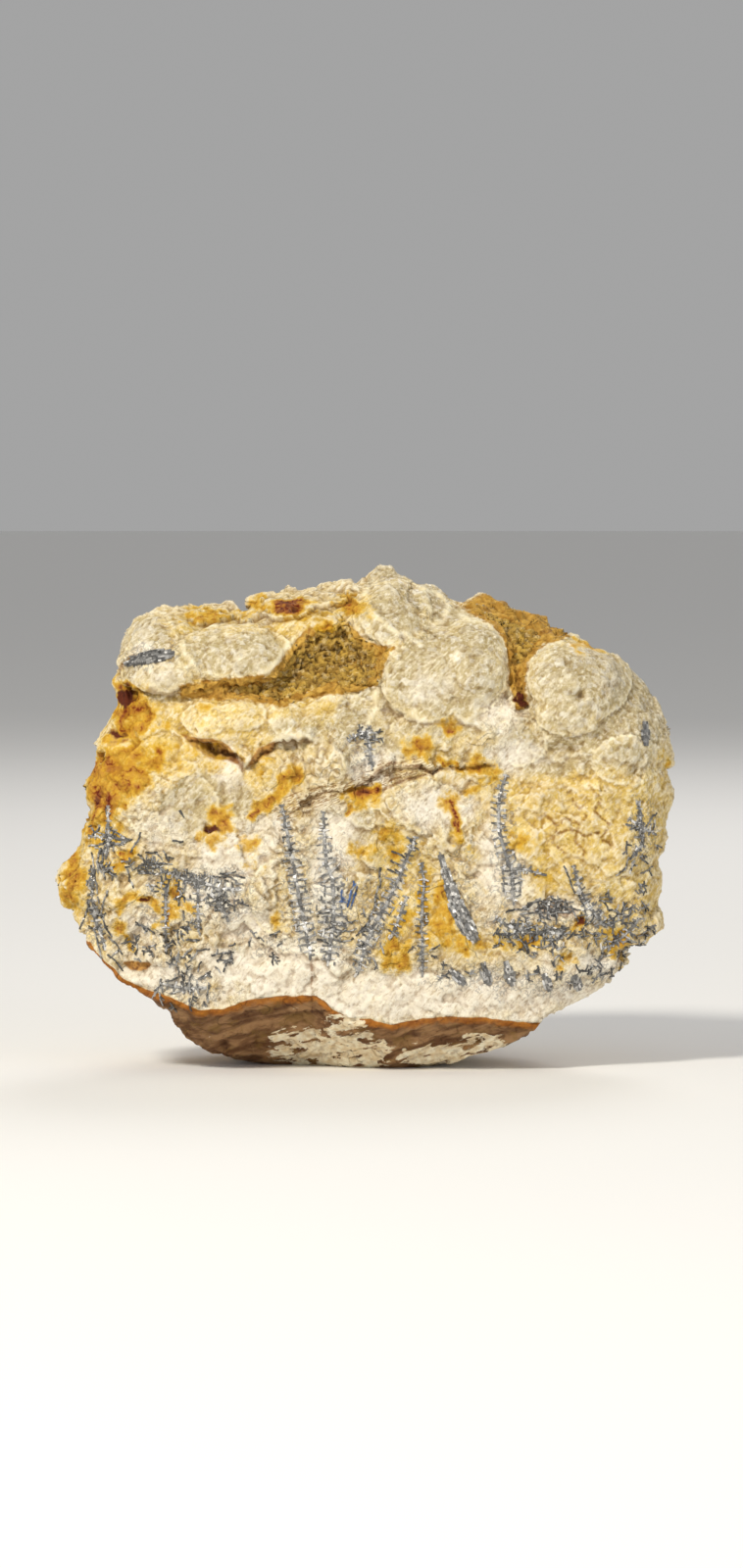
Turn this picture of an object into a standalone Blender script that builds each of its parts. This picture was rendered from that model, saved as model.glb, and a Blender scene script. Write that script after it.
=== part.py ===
# Galena specimen: a broken hand specimen of pale rock with galena feathers grown in its front face.
# Millimetres in the named values below, metres in the meshes. X is the specimen's length, Z is up and the
# show face looks along -Y. The origin is at the middle of the flat break that it rests on.

import math

import bpy
import bmesh
from mathutils import Vector, noise
from mathutils.geometry import delaunay_2d_cdt

for old in list(bpy.data.objects):
    bpy.data.objects.remove(old, do_unlink=True)

MM = 0.001

# Driving sizes.
FRONT_REACH = 31.0          # how far the show face stands in front of the middle
BACK_RIM = 17.0             # where the sides end and the back face starts
BACK_BULGE = 14.0           # how far the back face swells behind that rim
FACE_MIDDLE = (1.0, 50.0)   # middle of the outline, as x and z
HALF_LENGTH = 63.0
FACE_SWEEP = 5.0            # how far the show face falls back towards its two ends
FACE_SKEW = 1.5             # how much more of that the right end has
EDGE_ROLL = 9.0             # how far in from the outline the show face starts to round off
EDGE_DROP = 6.5             # how far the rounded edge falls back
SIDE_RINGS = 6
SIDE_SOFTENING = 24         # rounds of averaging that take the outline's notches out of the sides
SIDE_TAPER = 0.30           # how much smaller the back rim is than the outline
FOOT_SPREAD = 0.07          # how much lower the underside reaches behind the brown break, before the cut
FRONT_SPACING = 3.2         # grid of points on the show face
BACK_SPACING = 6.2
LOOP_CLEARANCE = 1.3        # grid points keep this far from ledges and rims
UNDERCUT_SLOPE = 1.15       # the brown break falls back this much for each millimetre down
POCKET_GAP = 0.35           # between a galena crystal and the rock round it
CRYSTAL_DEPTH = 1.6
CRYSTAL_PROUD = 0.45
TOOTH_PITCH = 2.4           # spacing of the side branches along a galena feather
NOTCH_SHARE = 0.55          # a feather's width between two branches, as a share of its full width
CRUST_GAP = 0.5
CRUST_THICKNESS = 1.1
FACE_LUMPS = [(0.9, 13.0, 3.1), (0.5, 5.5, 7.7)]    # height, size and seed of the show face's lumps
BACK_LUMPS = [(1.6, 17.0, 2.9), (0.8, 8.0, 6.1)]
BREAK_LUMPS = 0.8           # height of the brown break's own lumps
RIM_WALL = 0.9              # width of the steep wall round a hollow, seen from the front

# Outline of the rock seen from the front, clockwise from its summit. What is below zero is cut off flat.
OUTLINE = [
    (3.7, 102.6), (5.1, 102.1), (7.1, 100.3), (9.7, 98.9), (12.2, 98.9), (14.5, 98.0), (17.3, 95.7),
    (19.5, 95.1), (24.7, 96.2), (28.1, 94.8), (29.7, 93.2), (34.3, 92.1), (37.7, 92.2),
    (39.1, 90.6), (40.9, 89.7), (41.9, 88.3), (46.2, 85.3), (48.9, 84.9), (54.5, 82.1),
    (56.7, 79.8), (60.4, 72.9), (63.0, 67.2), (62.7, 62.5), (61.1, 61.9), (62.5, 56.8),
    (62.7, 54.1), (61.8, 51.4), (61.1, 45.0), (60.4, 42.7), (60.8, 38.1), (59.5, 33.1),
    (61.1, 30.8), (61.3, 28.5), (59.1, 28.0), (57.2, 25.7), (54.2, 25.0), (52.9, 23.9),
    (53.9, 22.5), (53.8, 20.9), (51.2, 20.0), (50.3, 18.6), (47.8, 16.8), (42.1, 13.8),
    (37.0, 11.9), (34.3, 8.5), (29.7, 6.0), (25.1, 3.9), (19.5, 2.1), (14.9, 0.7), (6.2, -0.5),
    (-2.2, -0.8), (-9.1, -0.9), (-16.9, -0.4), (-22.4, 1.2), (-29.7, 2.8), (-31.1, 4.4), (-32.4, 3.5),
    (-37.1, 7.4), (-38.9, 10.1), (-39.4, 12.4), (-43.5, 14.9), (-46.3, 15.9), (-50.4, 19.3),
    (-54.5, 24.3), (-56.6, 25.7), (-57.5, 29.9), (-59.1, 32.6), (-61.4, 33.5), (-63.0, 38.4),
    (-61.9, 41.3), (-59.6, 43.2), (-58.2, 45.9), (-56.6, 51.4), (-56.4, 57.3), (-55.2, 61.9),
    (-53.2, 63.8), (-54.3, 64.7), (-53.9, 67.9), (-52.2, 72.0), (-50.6, 74.3), (-50.4, 76.6),
    (-51.3, 79.4), (-50.2, 81.2), (-50.9, 83.0), (-48.1, 89.9), (-46.7, 92.2), (-42.8, 94.0),
    (-39.4, 94.3), (-32.5, 94.0), (-27.7, 95.0), (-27.0, 93.6), (-25.6, 92.7), (-24.0, 92.9),
    (-22.9, 94.0), (-23.8, 95.2), (-23.5, 96.4), (-20.1, 96.4), (-12.3, 97.5), (-6.8, 98.7),
    (-0.8, 99.1), (2.4, 102.1),
]

# How far the show face leans back at each height: it stands furthest forward just above the undercut.
LEAN = [(0, 0), (16, 0), (32, 0.4), (50, 1.4), (60, 2.6), (70, 4.6), (80, 7.6), (90, 12.0), (103, 19.5)]

# Brow of the undercut, left to right: the brown break starts below it.
BROW = [
    (-56.0, 26.4), (-53.0, 22.6), (-49.5, 19.0), (-44.5, 16.0), (-38.4, 14.6), (-33.6, 12.2), (-29.0, 12.6),
    (-22.6, 14.8), (-15.4, 15.2), (-9.8, 15.4), (-7.0, 13.0), (-3.0, 10.8), (1.2, 10.6), (6.0, 9.4),
    (11.8, 10.8), (17.2, 11.2), (24.8, 10.8), (30.0, 10.0), (33.4, 9.6),
]

# Hollows and crevices seen from the front: outline, how deep the floor lies, and how far from the rim it
# takes to get there.
LARGE_HOLLOW = [
    (-11.4, 90.0), (-3.4, 91.2), (-0.8, 88.4), (2.4, 86.4), (5.8, 86.0), (3.6, 82.6), (2.4, 78.0),
    (-4.8, 77.0), (-12.2, 76.2), (-17.0, 74.2), (-20.0, 75.2), (-26.4, 75.8), (-37.4, 76.2),
    (-37.6, 78.4), (-27.2, 79.8), (-20.4, 80.2), (-17.0, 83.2), (-14.8, 86.4),
]
RIGHT_HOLLOW = [
    (21.6, 92.8), (25.0, 93.8), (28.6, 92.2), (33.0, 90.4), (37.4, 88.8), (35.4, 86.4), (34.0, 83.6),
    (32.8, 80.6), (32.6, 77.0), (33.6, 73.8), (30.8, 73.4), (28.8, 77.6), (29.8, 81.4), (29.6, 85.4),
    (28.0, 88.6), (25.0, 91.2),
]
LEFT_CREVICE = [
    (-37.4, 68.6), (-34.0, 67.8), (-30.6, 68.0), (-27.4, 66.6), (-25.4, 62.2), (-27.6, 63.2), (-31.6, 64.2),
    (-34.6, 65.6),
]
RIGHT_CREVICE = [
    (-18.2, 67.4), (-18.8, 65.4), (-21.2, 63.6), (-23.6, 61.8), (-23.2, 63.8), (-21.6, 66.0),
]
UPPER_EDGE_HOLLOW = [
    (-49.4, 78.4), (-46.6, 79.0), (-45.8, 75.6), (-47.4, 72.2), (-49.8, 71.2), (-48.8, 74.4), (-48.8, 76.6),
]
LOWER_EDGE_HOLLOW = [
    (-52.0, 69.6), (-47.0, 70.2), (-48.2, 67.4), (-51.2, 66.0), (-52.6, 66.4),
]
STAINED_HOLE = [
    (-33.6, 50.0), (-30.8, 50.2), (-28.2, 53.0), (-27.4, 52.0), (-29.8, 48.6), (-32.6, 48.6),
]
WRINKLED_LEDGE = [
    (-14.4, 55.4), (-11.6, 57.4), (-6.0, 58.4), (-1.6, 58.0), (-4.2, 55.4), (-9.2, 53.8), (-13.2, 53.6),
]
LENS_HOLLOW = [
    (33.0, 33.0), (36.0, 35.2), (40.0, 35.2), (43.0, 32.6), (43.6, 30.2), (41.8, 31.0), (37.6, 31.4),
]
LOW_SLOT = [
    (-49.2, 22.8), (-42.6, 22.8), (-44.2, 21.0), (-47.2, 20.8),
]
SMALL_HOLE = [(43.0, 77.0), (44.4, 77.2), (44.8, 75.8), (43.4, 75.4)]
HOLLOWS = [
    (LARGE_HOLLOW, 5.5, 6.0),
    (RIGHT_HOLLOW, 3.4, 3.0),
    (LEFT_CREVICE, 3.4, 1.2),
    (RIGHT_CREVICE, 2.0, 0.8),
    (UPPER_EDGE_HOLLOW, 3.0, 1.0),
    (LOWER_EDGE_HOLLOW, 3.2, 1.0),
    (STAINED_HOLE, 1.8, 0.8),
    (WRINKLED_LEDGE, 1.2, 1.2),
    (LENS_HOLLOW, 1.8, 1.0),
    (LOW_SLOT, 2.2, 0.7),
    (SMALL_HOLE, 1.6, 0.5),
]
RIM_STEP = 0.35             # the share of a hollow's depth that its steep wall takes at once

# The crust on the floor of each of the two upper hollows, seen from the front.
LARGE_CRUST = [
    (-10.8, 88.4), (-4.0, 89.6), (-2.0, 87.4), (2.6, 84.6), (1.9, 82.4), (1.0, 79.2), (-4.9, 78.4),
    (-12.4, 77.6), (-17.0, 75.8), (-20.0, 76.6), (-26.2, 77.3), (-26.6, 78.3), (-20.0, 78.7), (-16.2, 81.8),
    (-13.4, 85.8),
]
RIGHT_CRUST = [
    (23.8, 92.7), (25.2, 92.5), (28.2, 90.9), (32.4, 89.3), (35.6, 88.0), (34.2, 86.7), (32.9, 84.2),
    (32.2, 82.0), (31.0, 82.0), (30.9, 85.6), (29.2, 89.2), (26.2, 91.4),
]

# Rounded lobes of the upper face: middle x and z, half width, half height, tilt in degrees, how far proud.
LOBES = [
    (-40.0, 85.0, 11.5, 8.0, -8, 3.8),
    (-26.5, 84.4, 10.5, 6.0, -6, 4.0),
    (5.0, 91.0, 7.5, 5.6, -38, 2.6),
    (11.0, 80.5, 8.5, 9.0, 20, 3.4),
    (22.6, 84.0, 7.4, 9.2, 8, 5.2),
    (20.0, 71.0, 12.5, 8.0, 0, 2.4),
    (42.5, 77.5, 10.8, 11.4, 10, 6.0),
    (52.0, 66.0, 10.0, 13.0, 18, 3.0),
    (-14.0, 70.5, 8.5, 4.6, -4, 2.4),
    (-27.0, 71.5, 8.5, 4.6, 4, 2.2),
    (-5.0, 66.0, 9.5, 6.0, 10, 1.8),
    (45.0, 50.0, 15.0, 14.0, -20, 1.8),
    (-30.0, 42.0, 14.0, 13.0, 10, 1.2),
    (-44.0, 55.0, 9.0, 8.0, 20, 1.4),
    (12.0, 52.0, 12.0, 8.0, -10, 1.0),
    (10.0, 20.0, 34.0, 8.0, 0, 0.9),
]

# Ledges: the face steps back below a line by the given amount, and comes forward again over the fade.
LEDGES = [
    ([(-2.0, 58.8), (1.4, 60.2), (5.6, 63.0), (9.8, 62.2), (14.0, 60.8), (20.0, 60.6)], 1.5, 6.0),
    ([(-47.0, 62.8), (-40.0, 64.6), (-37.4, 66.8)], 1.2, 6.0),
    ([(20.0, 60.2), (23.0, 56.4), (22.0, 55.0)], 0.8, 4.0),
    ([(-20.0, 59.6), (-14.0, 61.0), (-9.0, 60.4)], 0.9, 5.0),
    ([(33.0, 35.2), (37.5, 37.4), (43.0, 34.8), (46.0, 30.0)], 1.1, 6.0),
]

# The shelf behind the top edge falls back more steeply than the face below it: left and right ends, the
# height where it starts at each end, and its slope.
SHELVES = [
    (-40.0, -1.0, 91.0, 94.5, 0.9),
    (19.0, 44.0, 92.4, 85.0, 0.9),
]

# Flat breaks that cut the sides and the back: compass direction (0 looks along +Y, 90 along +X), climb in
# degrees, and how far the break is from the middle of the rock.
BREAKS = [
    (6, 8, 25.5),
    (36, 30, 34.5),
    (58, -14, 41.5),
    (-34, 22, 36.0),
    (-62, -12, 44.0),
    (14, 58, 38.5),
    (-20, -34, 43.0),
    (32, -36, 43.5),
    (94, 24, 55.0),
    (-100, 30, 50.0),
    (-30, 62, 42.5),
]
BREAK_MIDDLE = (0.0, 0.0, 50.0)

# Galena in the show face. Each arm is a line of stations: x, z and half width.
GALENA = {
    "galena_feather_tall_left": [
        [(-16.8, 54.4, 0.3), (-15.9, 49.5, 1.0), (-15.0, 45.0, 1.3), (-14.2, 40.5, 1.9), (-13.2, 35.5, 2.2),
         (-12.3, 30.5, 2.1), (-11.5, 26.5, 1.6), (-10.9, 23.6, 0.5)],
    ],
    "galena_feather_hatched": [
        [(-8.4, 53.0, 0.3), (-8.2, 48.0, 1.2), (-7.8, 42.4, 1.8), (-6.5, 39.6, 3.0), (-6.4, 35.0, 3.3),
         (-6.4, 30.6, 3.2), (-7.0, 26.0, 2.2), (-7.4, 22.4, 1.2)],
    ],
    "galena_feather_leaning": [
        [(10.2, 48.0, 0.4), (7.8, 42.0, 1.2), (4.9, 35.4, 1.5), (2.3, 31.0, 1.9), (0.3, 26.6, 2.0),
         (-1.8, 20.0, 1.0)],
    ],
    "galena_feather_short": [
        [(8.4, 35.8, 0.5), (6.9, 31.6, 1.1), (5.2, 27.4, 0.9)],
    ],
    "galena_feather_slim": [
        [(11.3, 42.6, 0.4), (12.0, 39.4, 1.0), (11.5, 32.6, 1.2), (11.6, 26.0, 1.0), (11.6, 20.0, 0.6)],
    ],
    "galena_spear": [
        [(15.2, 44.6, 0.3), (16.6, 40.0, 0.9), (18.5, 34.0, 1.5), (20.8, 29.6, 1.7), (23.2, 27.0, 1.2)],
    ],
    "galena_feather_tall_right": [
        [(28.6, 60.4, 0.4), (27.2, 56.0, 1.5), (27.0, 49.4, 1.3), (28.2, 45.0, 1.8), (29.8, 41.0, 2.1),
         (29.8, 37.0, 2.1), (30.2, 34.4, 1.0)],
        [(29.8, 41.6, 1.0), (33.2, 41.2, 0.8), (36.4, 40.2, 0.4)],
    ],
    "galena_feather_low_right": [
        [(42.2, 42.0, 0.3), (43.6, 37.0, 1.1), (46.4, 32.4, 1.7), (48.8, 29.4, 1.3)],
    ],
    "galena_star": [
        [(56.6, 55.8, 0.4), (56.6, 50.6, 1.1), (55.4, 46.2, 0.8), (53.4, 43.4, 0.4)],
        [(53.6, 51.4, 0.4), (56.4, 49.6, 0.9), (59.2, 48.2, 0.4)],
    ],
    "galena_tee": [
        [(-3.4, 66.8, 0.4), (-1.0, 68.0, 0.9), (1.6, 68.4, 0.7)],
        [(0.4, 68.6, 0.8), (0.9, 65.0, 0.9), (1.5, 61.8, 0.4)],
    ],
    "galena_thicket_left": [
        [(-33.8, 39.6, 0.8), (-29.6, 37.4, 2.2), (-25.4, 37.6, 1.4)],
        [(-31.0, 36.6, 1.8), (-28.6, 33.6, 1.6), (-27.6, 31.2, 0.6)],
        [(-33.6, 39.0, 0.7), (-33.8, 34.0, 0.8), (-33.6, 28.4, 0.5)],
        [(-40.2, 41.0, 0.4), (-36.6, 39.6, 1.0), (-33.0, 39.4, 0.9)],
    ],
    "galena_reed_left": [
        [(-40.4, 37.6, 0.4), (-40.4, 31.0, 0.7), (-40.2, 24.6, 0.4)],
    ],
    "galena_branch_left": [
        [(-52.0, 54.0, 0.3), (-51.6, 48.4, 0.8), (-50.6, 43.4, 0.4)],
        [(-56.0, 48.2, 0.3), (-51.6, 48.6, 0.8), (-47.6, 49.0, 0.4)],
    ],
    "galena_feather_left_edge": [
        [(-55.4, 40.4, 0.4), (-55.2, 35.0, 0.9), (-54.2, 29.6, 0.9), (-52.6, 25.2, 0.4)],
    ],
    "galena_patch_low_left": [
        [(-41.4, 18.4, 0.6), (-37.0, 17.4, 1.4), (-32.4, 17.4, 1.2)],
    ],
    "galena_streaks_middle_right": [
        [(26.4, 31.4, 0.5), (29.2, 30.0, 1.3), (33.4, 28.6, 1.6), (37.6, 28.4, 1.4), (40.8, 28.0, 0.7)],
    ],
    "galena_patch_low_right": [
        [(48.0, 25.0, 0.7), (51.0, 26.0, 1.1), (53.6, 28.4, 1.2), (55.6, 31.0, 0.8)],
    ],
    "galena_blade_top_left": [
        [(-48.0, 83.2, 0.4), (-44.6, 84.6, 1.3), (-41.0, 84.6, 1.3), (-38.2, 83.6, 0.5)],
    ],
    "galena_blade_right": [
        [(57.0, 70.6, 0.4), (57.0, 68.4, 0.9), (57.0, 66.0, 0.3)],
    ],
}

# Small tufts of galena in a row above the white band: x and z of the top, x and z of the foot, half width.
TUFTS = [
    (17.4, 21.0, 20.4, 18.0, 1.0),
    (24.0, 22.2, 25.2, 17.8, 1.0),
    (28.6, 22.4, 30.0, 17.6, 1.1),
    (36.4, 19.8, 37.6, 16.4, 1.0),
    (42.6, 19.4, 43.6, 16.4, 0.9),
]

# Colours of the plain finishes.
ROCK = ((0.78, 0.70, 0.55), 0.75, 0.0)
LEAD_GREY = ((0.30, 0.31, 0.33), 0.35, 0.9)
OCHRE = ((0.45, 0.28, 0.09), 0.85, 0.0)


# ---------------------------------------------------------------------------- helpers

def clamp(value, low=0.0, high=1.0):
    return max(low, min(high, value))


def ease(value):
    value = clamp(value)
    return value * value * (3 - 2 * value)


def along_table(table, value):
    """Read a table of (key, amount) pairs at a value between its keys."""
    if value <= table[0][0]:
        return table[0][1]
    for (key0, amount0), (key1, amount1) in zip(table, table[1:]):
        if value <= key1:
            return amount0 + (amount1 - amount0) * (value - key0) / (key1 - key0)
    return table[-1][1]


def edge_distance(loop, x, z, closed=True):
    """Shortest distance from a point to a line of points."""
    best = 1e9
    count = len(loop)
    for i in range(count if closed else count - 1):
        ax, az = loop[i]
        bx, bz = loop[(i + 1) % count]
        dx, dz = bx - ax, bz - az
        t = clamp(((x - ax) * dx + (z - az) * dz) / (dx * dx + dz * dz + 1e-12))
        best = min(best, math.hypot(x - ax - t * dx, z - az - t * dz))
    return best


def is_inside(loop, x, z):
    inside = False
    for (ax, az), (bx, bz) in zip(loop, loop[1:] + loop[:1]):
        if (az > z) != (bz > z) and x < ax + (z - az) * (bx - ax) / (bz - az):
            inside = not inside
    return inside


def rough(x, y, z, size, seed):
    """Smooth lumps of a given size, from -1 to 1."""
    return noise.noise(Vector((x / size + seed, y / size - seed, z / size + 2 * seed)))


# ---------------------------------------------------------------------------- shape of the rock

def brow_height(x):
    return along_table(BROW, x)


def lobe_rise(x, z):
    """The highest lobe at a point, as a rounded dome."""
    rise = 0.0
    for cx, cz, half_width, half_height, tilt, height in LOBES:
        angle = math.radians(tilt)
        dx, dz = x - cx, z - cz
        u = (dx * math.cos(angle) + dz * math.sin(angle)) / half_width
        v = (dz * math.cos(angle) - dx * math.sin(angle)) / half_height
        rise = max(rise, height * math.sqrt(max(0.0, 1.0 - u * u - v * v)))
    return rise


def shelf_fall(x, z):
    fall = 0.0
    for left, right, z_left, z_right, slope in SHELVES:
        if left < x < right:
            share = (x - left) / (right - left)
            start = z_left + (z_right - z_left) * share
            fade = ease(min(x - left, right - x) / 5.0)
            fall += slope * fade * max(0.0, z - start)
    return fall


def ledge_fall(x, z):
    fall = 0.0
    for line, depth, fade in LEDGES:
        if line[0][0] < x < line[-1][0] or line[-1][0] < x < line[0][0]:
            ordered = sorted(line)
            below = along_table(ordered, x) - z
            ends = ease(min(x - ordered[0][0], ordered[-1][0] - x) / 2.0)
            if below > 0:
                fall = max(fall, depth * ends * ease(below / 0.8) * (1 - ease(below / fade)))
    return fall


def hollow_fall(x, z):
    fall = 0.0
    for loop, depth, reach in HOLLOWS:
        if is_inside(loop, x, z):
            inset = edge_distance(loop, x, z)
            wall = RIM_STEP * clamp(inset / RIM_WALL)
            fall = max(fall, depth * (wall + (1 - RIM_STEP) * ease(inset / reach)))
    return fall


def face_y(x, z):
    """Y of the show face at a point of the outline's plane."""
    brow = brow_height(x)
    on_break = max(0.0, brow - z)
    height = max(z, brow)
    lean = along_table(LEAN, height)
    sweep = FACE_SWEEP * (x / HALF_LENGTH) ** 2 + FACE_SKEW * (x / HALF_LENGTH)
    inset = edge_distance(OUTLINE, x, z)
    roll = clamp(1 - inset / EDGE_ROLL)
    above = ease((z - brow) / 7.0)
    drop = EDGE_DROP * (1 - math.sqrt(max(0.0, 1 - roll * roll))) * above
    y = -FRONT_REACH + lean + sweep + drop
    y += UNDERCUT_SLOPE * on_break
    y -= lobe_rise(x, z) * above
    y += shelf_fall(x, z) + ledge_fall(x, z) + hollow_fall(x, z)
    y += sum(height * rough(x, 0, z, size, seed) for height, size, seed in FACE_LUMPS)
    y += BREAK_LUMPS * ease(on_break / 4.0) * rough(x, 0, z, 7.0, 1.3)
    return y


def press_on_breaks(point):
    """Push a point of the sides or the back inwards onto the flat breaks it stands outside."""
    middle = Vector(BREAK_MIDDLE)
    for compass, climb, reach in BREAKS:
        a, c = math.radians(compass), math.radians(climb)
        out = Vector((math.sin(a) * math.cos(c), math.cos(a) * math.cos(c), math.sin(c)))
        over = (point - middle).dot(out) - reach
        if over > 0:
            point = point - out * over * 0.92
    return point


def softened(points, rounds):
    """A closed line of points with its corners averaged away."""
    for step in range(rounds):
        count = len(points)
        points = [(points[i - 1] + points[i] * 2 + points[(i + 1) % count]) / 4 for i in range(count)]
    return points


def side_point(start, share):
    """A point on the sides, between the outline and the back rim."""
    x, y, z = start
    cx, cz = FACE_MIDDLE
    taper = 1 - SIDE_TAPER * share ** 1.7
    lower = 1 + FOOT_SPREAD * ease(share / 0.3)
    low_blend = ease((cz - z) / 45.0)
    taper_z = taper * (1 - low_blend) + lower * low_blend
    px = cx + (x - cx) * taper
    pz = cz + (z - cz) * taper_z
    py = y + (BACK_RIM - y) * share
    swell = min(share, 0.6) * 3.0
    shift = rough(px, py, pz, 15.0, 5.3) * swell + rough(px, py, pz, 7.0, 9.1) * 0.5 * swell
    away = Vector((px - cx, 0, pz - cz)).normalized()
    point = Vector((px, py, pz)) + away * (shift - 0.35 * swell)
    if share > 0.25:
        point = press_on_breaks(point)
    return point


def back_point(x, z, rim, rim_y):
    """A point on the back, which swells behind its rim."""
    inset = edge_distance(rim, x, z)
    swell = 1 - (1 - clamp(inset / 26.0)) ** 2
    y = rim_y + BACK_BULGE * swell
    y += sum(height * rough(x, 40, z, size, seed) for height, size, seed in BACK_LUMPS)
    return press_on_breaks(Vector((x, y, z)))


# ---------------------------------------------------------------------------- building meshes

def grid_points(loop, spacing, clear_of, clearance, seed):
    """A hexagonal grid of points inside a loop, each nudged a little, clear of the given points."""
    xs = [p[0] for p in loop]
    zs = [p[1] for p in loop]
    row_height = spacing * math.sqrt(3) / 2
    points = []
    rows = int((max(zs) - min(zs)) / row_height) + 1
    columns = int((max(xs) - min(xs)) / spacing) + 2
    for row in range(rows):
        for column in range(columns):
            x = min(xs) + (column + 0.5 * (row % 2)) * spacing
            z = min(zs) + row * row_height
            x += 0.22 * spacing * rough(x, seed, z, 3.7, seed)
            z += 0.22 * spacing * rough(z, seed, x, 3.7, seed + 4)
            if not is_inside(loop, x, z) or edge_distance(loop, x, z) < 0.45 * spacing:
                continue
            if all(abs(x - px) > clearance or math.hypot(x - px, z - pz) > clearance for px, pz in clear_of):
                points.append((x, z))
    return points


def filled(boundary, loops, lines, points):
    """Fill a boundary with triangles that keep the given loops and open lines as edges."""
    coords = []
    edges = []
    for loop in [boundary] + loops:
        first = len(coords)
        coords += loop
        edges += [(first + i, first + (i + 1) % len(loop)) for i in range(len(loop))]
    for line in lines:
        first = len(coords)
        coords += line
        edges += [(first + i, first + i + 1) for i in range(len(line) - 1)]
    coords += points
    face = list(range(len(boundary)))
    result = delaunay_2d_cdt([Vector(c) for c in coords], edges, [face], 1, 1e-5)
    return [tuple(v) for v in result[0]], [tuple(f) for f in result[2]]


def with_steps(line, step):
    """Add points along an open line so that none of its stretches is longer than a step."""
    stepped = []
    for (ax, az), (bx, bz) in zip(line, line[1:]):
        count = max(1, round(math.hypot(bx - ax, bz - az) / step))
        stepped += [(ax + (bx - ax) * i / count, az + (bz - az) * i / count) for i in range(count)]
    return stepped + [line[-1]]


def make_object(name, bm, finish):
    """Turn a bmesh in millimetres into a named object in metres with its own finish."""
    bmesh.ops.scale(bm, vec=(MM, MM, MM), verts=bm.verts)
    bmesh.ops.recalc_face_normals(bm, faces=bm.faces)
    mesh = bpy.data.meshes.new(name)
    bm.to_mesh(mesh)
    bm.free()
    thing = bpy.data.objects.new(name, mesh)
    bpy.context.scene.collection.objects.link(thing)
    colour, roughness, metallic = finish
    material = bpy.data.materials.new(name)
    material.use_nodes = True
    shader = material.node_tree.nodes["Principled BSDF"]
    shader.inputs["Base Color"].default_value = (*colour, 1.0)
    shader.inputs["Roughness"].default_value = roughness
    shader.inputs["Metallic"].default_value = metallic
    mesh.materials.append(material)
    return thing


def add_sheet(bm, coords, triangles, height):
    """Lift a flat filling to the surface y = height(x, z)."""
    verts = [bm.verts.new((x, height(x, z), z)) for x, z in coords]
    for triangle in triangles:
        bm.faces.new([verts[i] for i in triangle])
    return verts


def rim_edges(triangles):
    """The directed edges that only one triangle has."""
    seen = {}
    for a, b, c in triangles:
        for edge in ((a, b), (b, c), (c, a)):
            seen[edge] = True
    return [edge for edge in seen if (edge[1], edge[0]) not in seen]


def slab(coords, triangles, front, back):
    """A closed solid between two surfaces over one flat filling."""
    bm = bmesh.new()
    near = [bm.verts.new((x, front(x, z), z)) for x, z in coords]
    far = [bm.verts.new((x, back(x, z), z)) for x, z in coords]
    for a, b, c in triangles:
        bm.faces.new((near[a], near[b], near[c]))
        bm.faces.new((far[c], far[b], far[a]))
    for a, b in rim_edges(triangles):
        bm.faces.new((near[b], near[a], far[a]))
        bm.faces.new((near[b], far[a], far[b]))
    return bm


# ---------------------------------------------------------------------------- the rock

def show_face():
    """Flat filling of the outline, with an edge along every rim and the brow of the undercut."""
    brow = with_steps([p for p in BROW if edge_distance(OUTLINE, *p) > 1.2], 3.0)
    rims = [loop for loop, depth, reach in HOLLOWS] + [LARGE_CRUST, RIGHT_CRUST]
    ledges = [with_steps(sorted(line), 3.0) for line, depth, fade in LEDGES]
    ledges = [p for line in ledges for p in line if all(edge_distance(r, *p) > 0.8 for r in rims)]
    taken = [p for loop in rims for p in loop] + ledges + brow
    grid = grid_points(OUTLINE, FRONT_SPACING, taken, LOOP_CLEARANCE, 1.7)
    return filled(OUTLINE, rims, [brow], grid + ledges)


def build_rock(coords, triangles):
    bm = bmesh.new()
    front = add_sheet(bm, coords, triangles, face_y)
    where = {(round(x, 3), round(z, 3)): i for i, (x, z) in enumerate(coords)}
    ring = [front[where[(round(x, 3), round(z, 3))]] for x, z in OUTLINE]
    sharp = [v.co.copy() for v in ring]
    soft = softened(sharp, SIDE_SOFTENING)
    for step in range(1, SIDE_RINGS + 1):
        share = step / SIDE_RINGS
        starts = [a.lerp(b, ease(share / 0.45)) for a, b in zip(sharp, soft)]
        following = [bm.verts.new(side_point(start, share)) for start in starts]
        for i in range(len(ring)):
            j = (i + 1) % len(ring)
            bm.faces.new((ring[i], ring[j], following[j], following[i]))
        ring = following

    rim = [(v.co.x, v.co.z) for v in ring]
    rim_y = sum(v.co.y for v in ring) / len(ring)
    inner = grid_points(rim, BACK_SPACING, rim, 0.6 * BACK_SPACING, 2.3)
    back_coords, back_triangles = filled(rim, [], [], inner)
    known = {(round(x, 3), round(z, 3)): v for (x, z), v in zip(rim, ring)}
    verts = []
    for x, z in back_coords:
        vert = known.get((round(x, 3), round(z, 3)))
        verts.append(vert if vert else bm.verts.new(back_point(x, z, rim, rim_y)))
    for triangle in back_triangles:
        bm.faces.new([verts[i] for i in triangle])

    bmesh.ops.triangulate(bm, faces=bm.faces)
    cut = bmesh.ops.bisect_plane(
        bm, geom=bm.verts[:] + bm.edges[:] + bm.faces[:], dist=1e-4,
        plane_co=(0, 0, 0), plane_no=(0, 0, -1), clear_outer=True)["geom_cut"]
    cut_edges = [part for part in cut if isinstance(part, bmesh.types.BMEdge)]
    bmesh.ops.holes_fill(bm, edges=cut_edges, sides=0)
    bmesh.ops.triangulate(bm, faces=[face for face in bm.faces if len(face.verts) > 3])
    return make_object("matrix_rock", bm, ROCK)


# ---------------------------------------------------------------------------- galena

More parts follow.
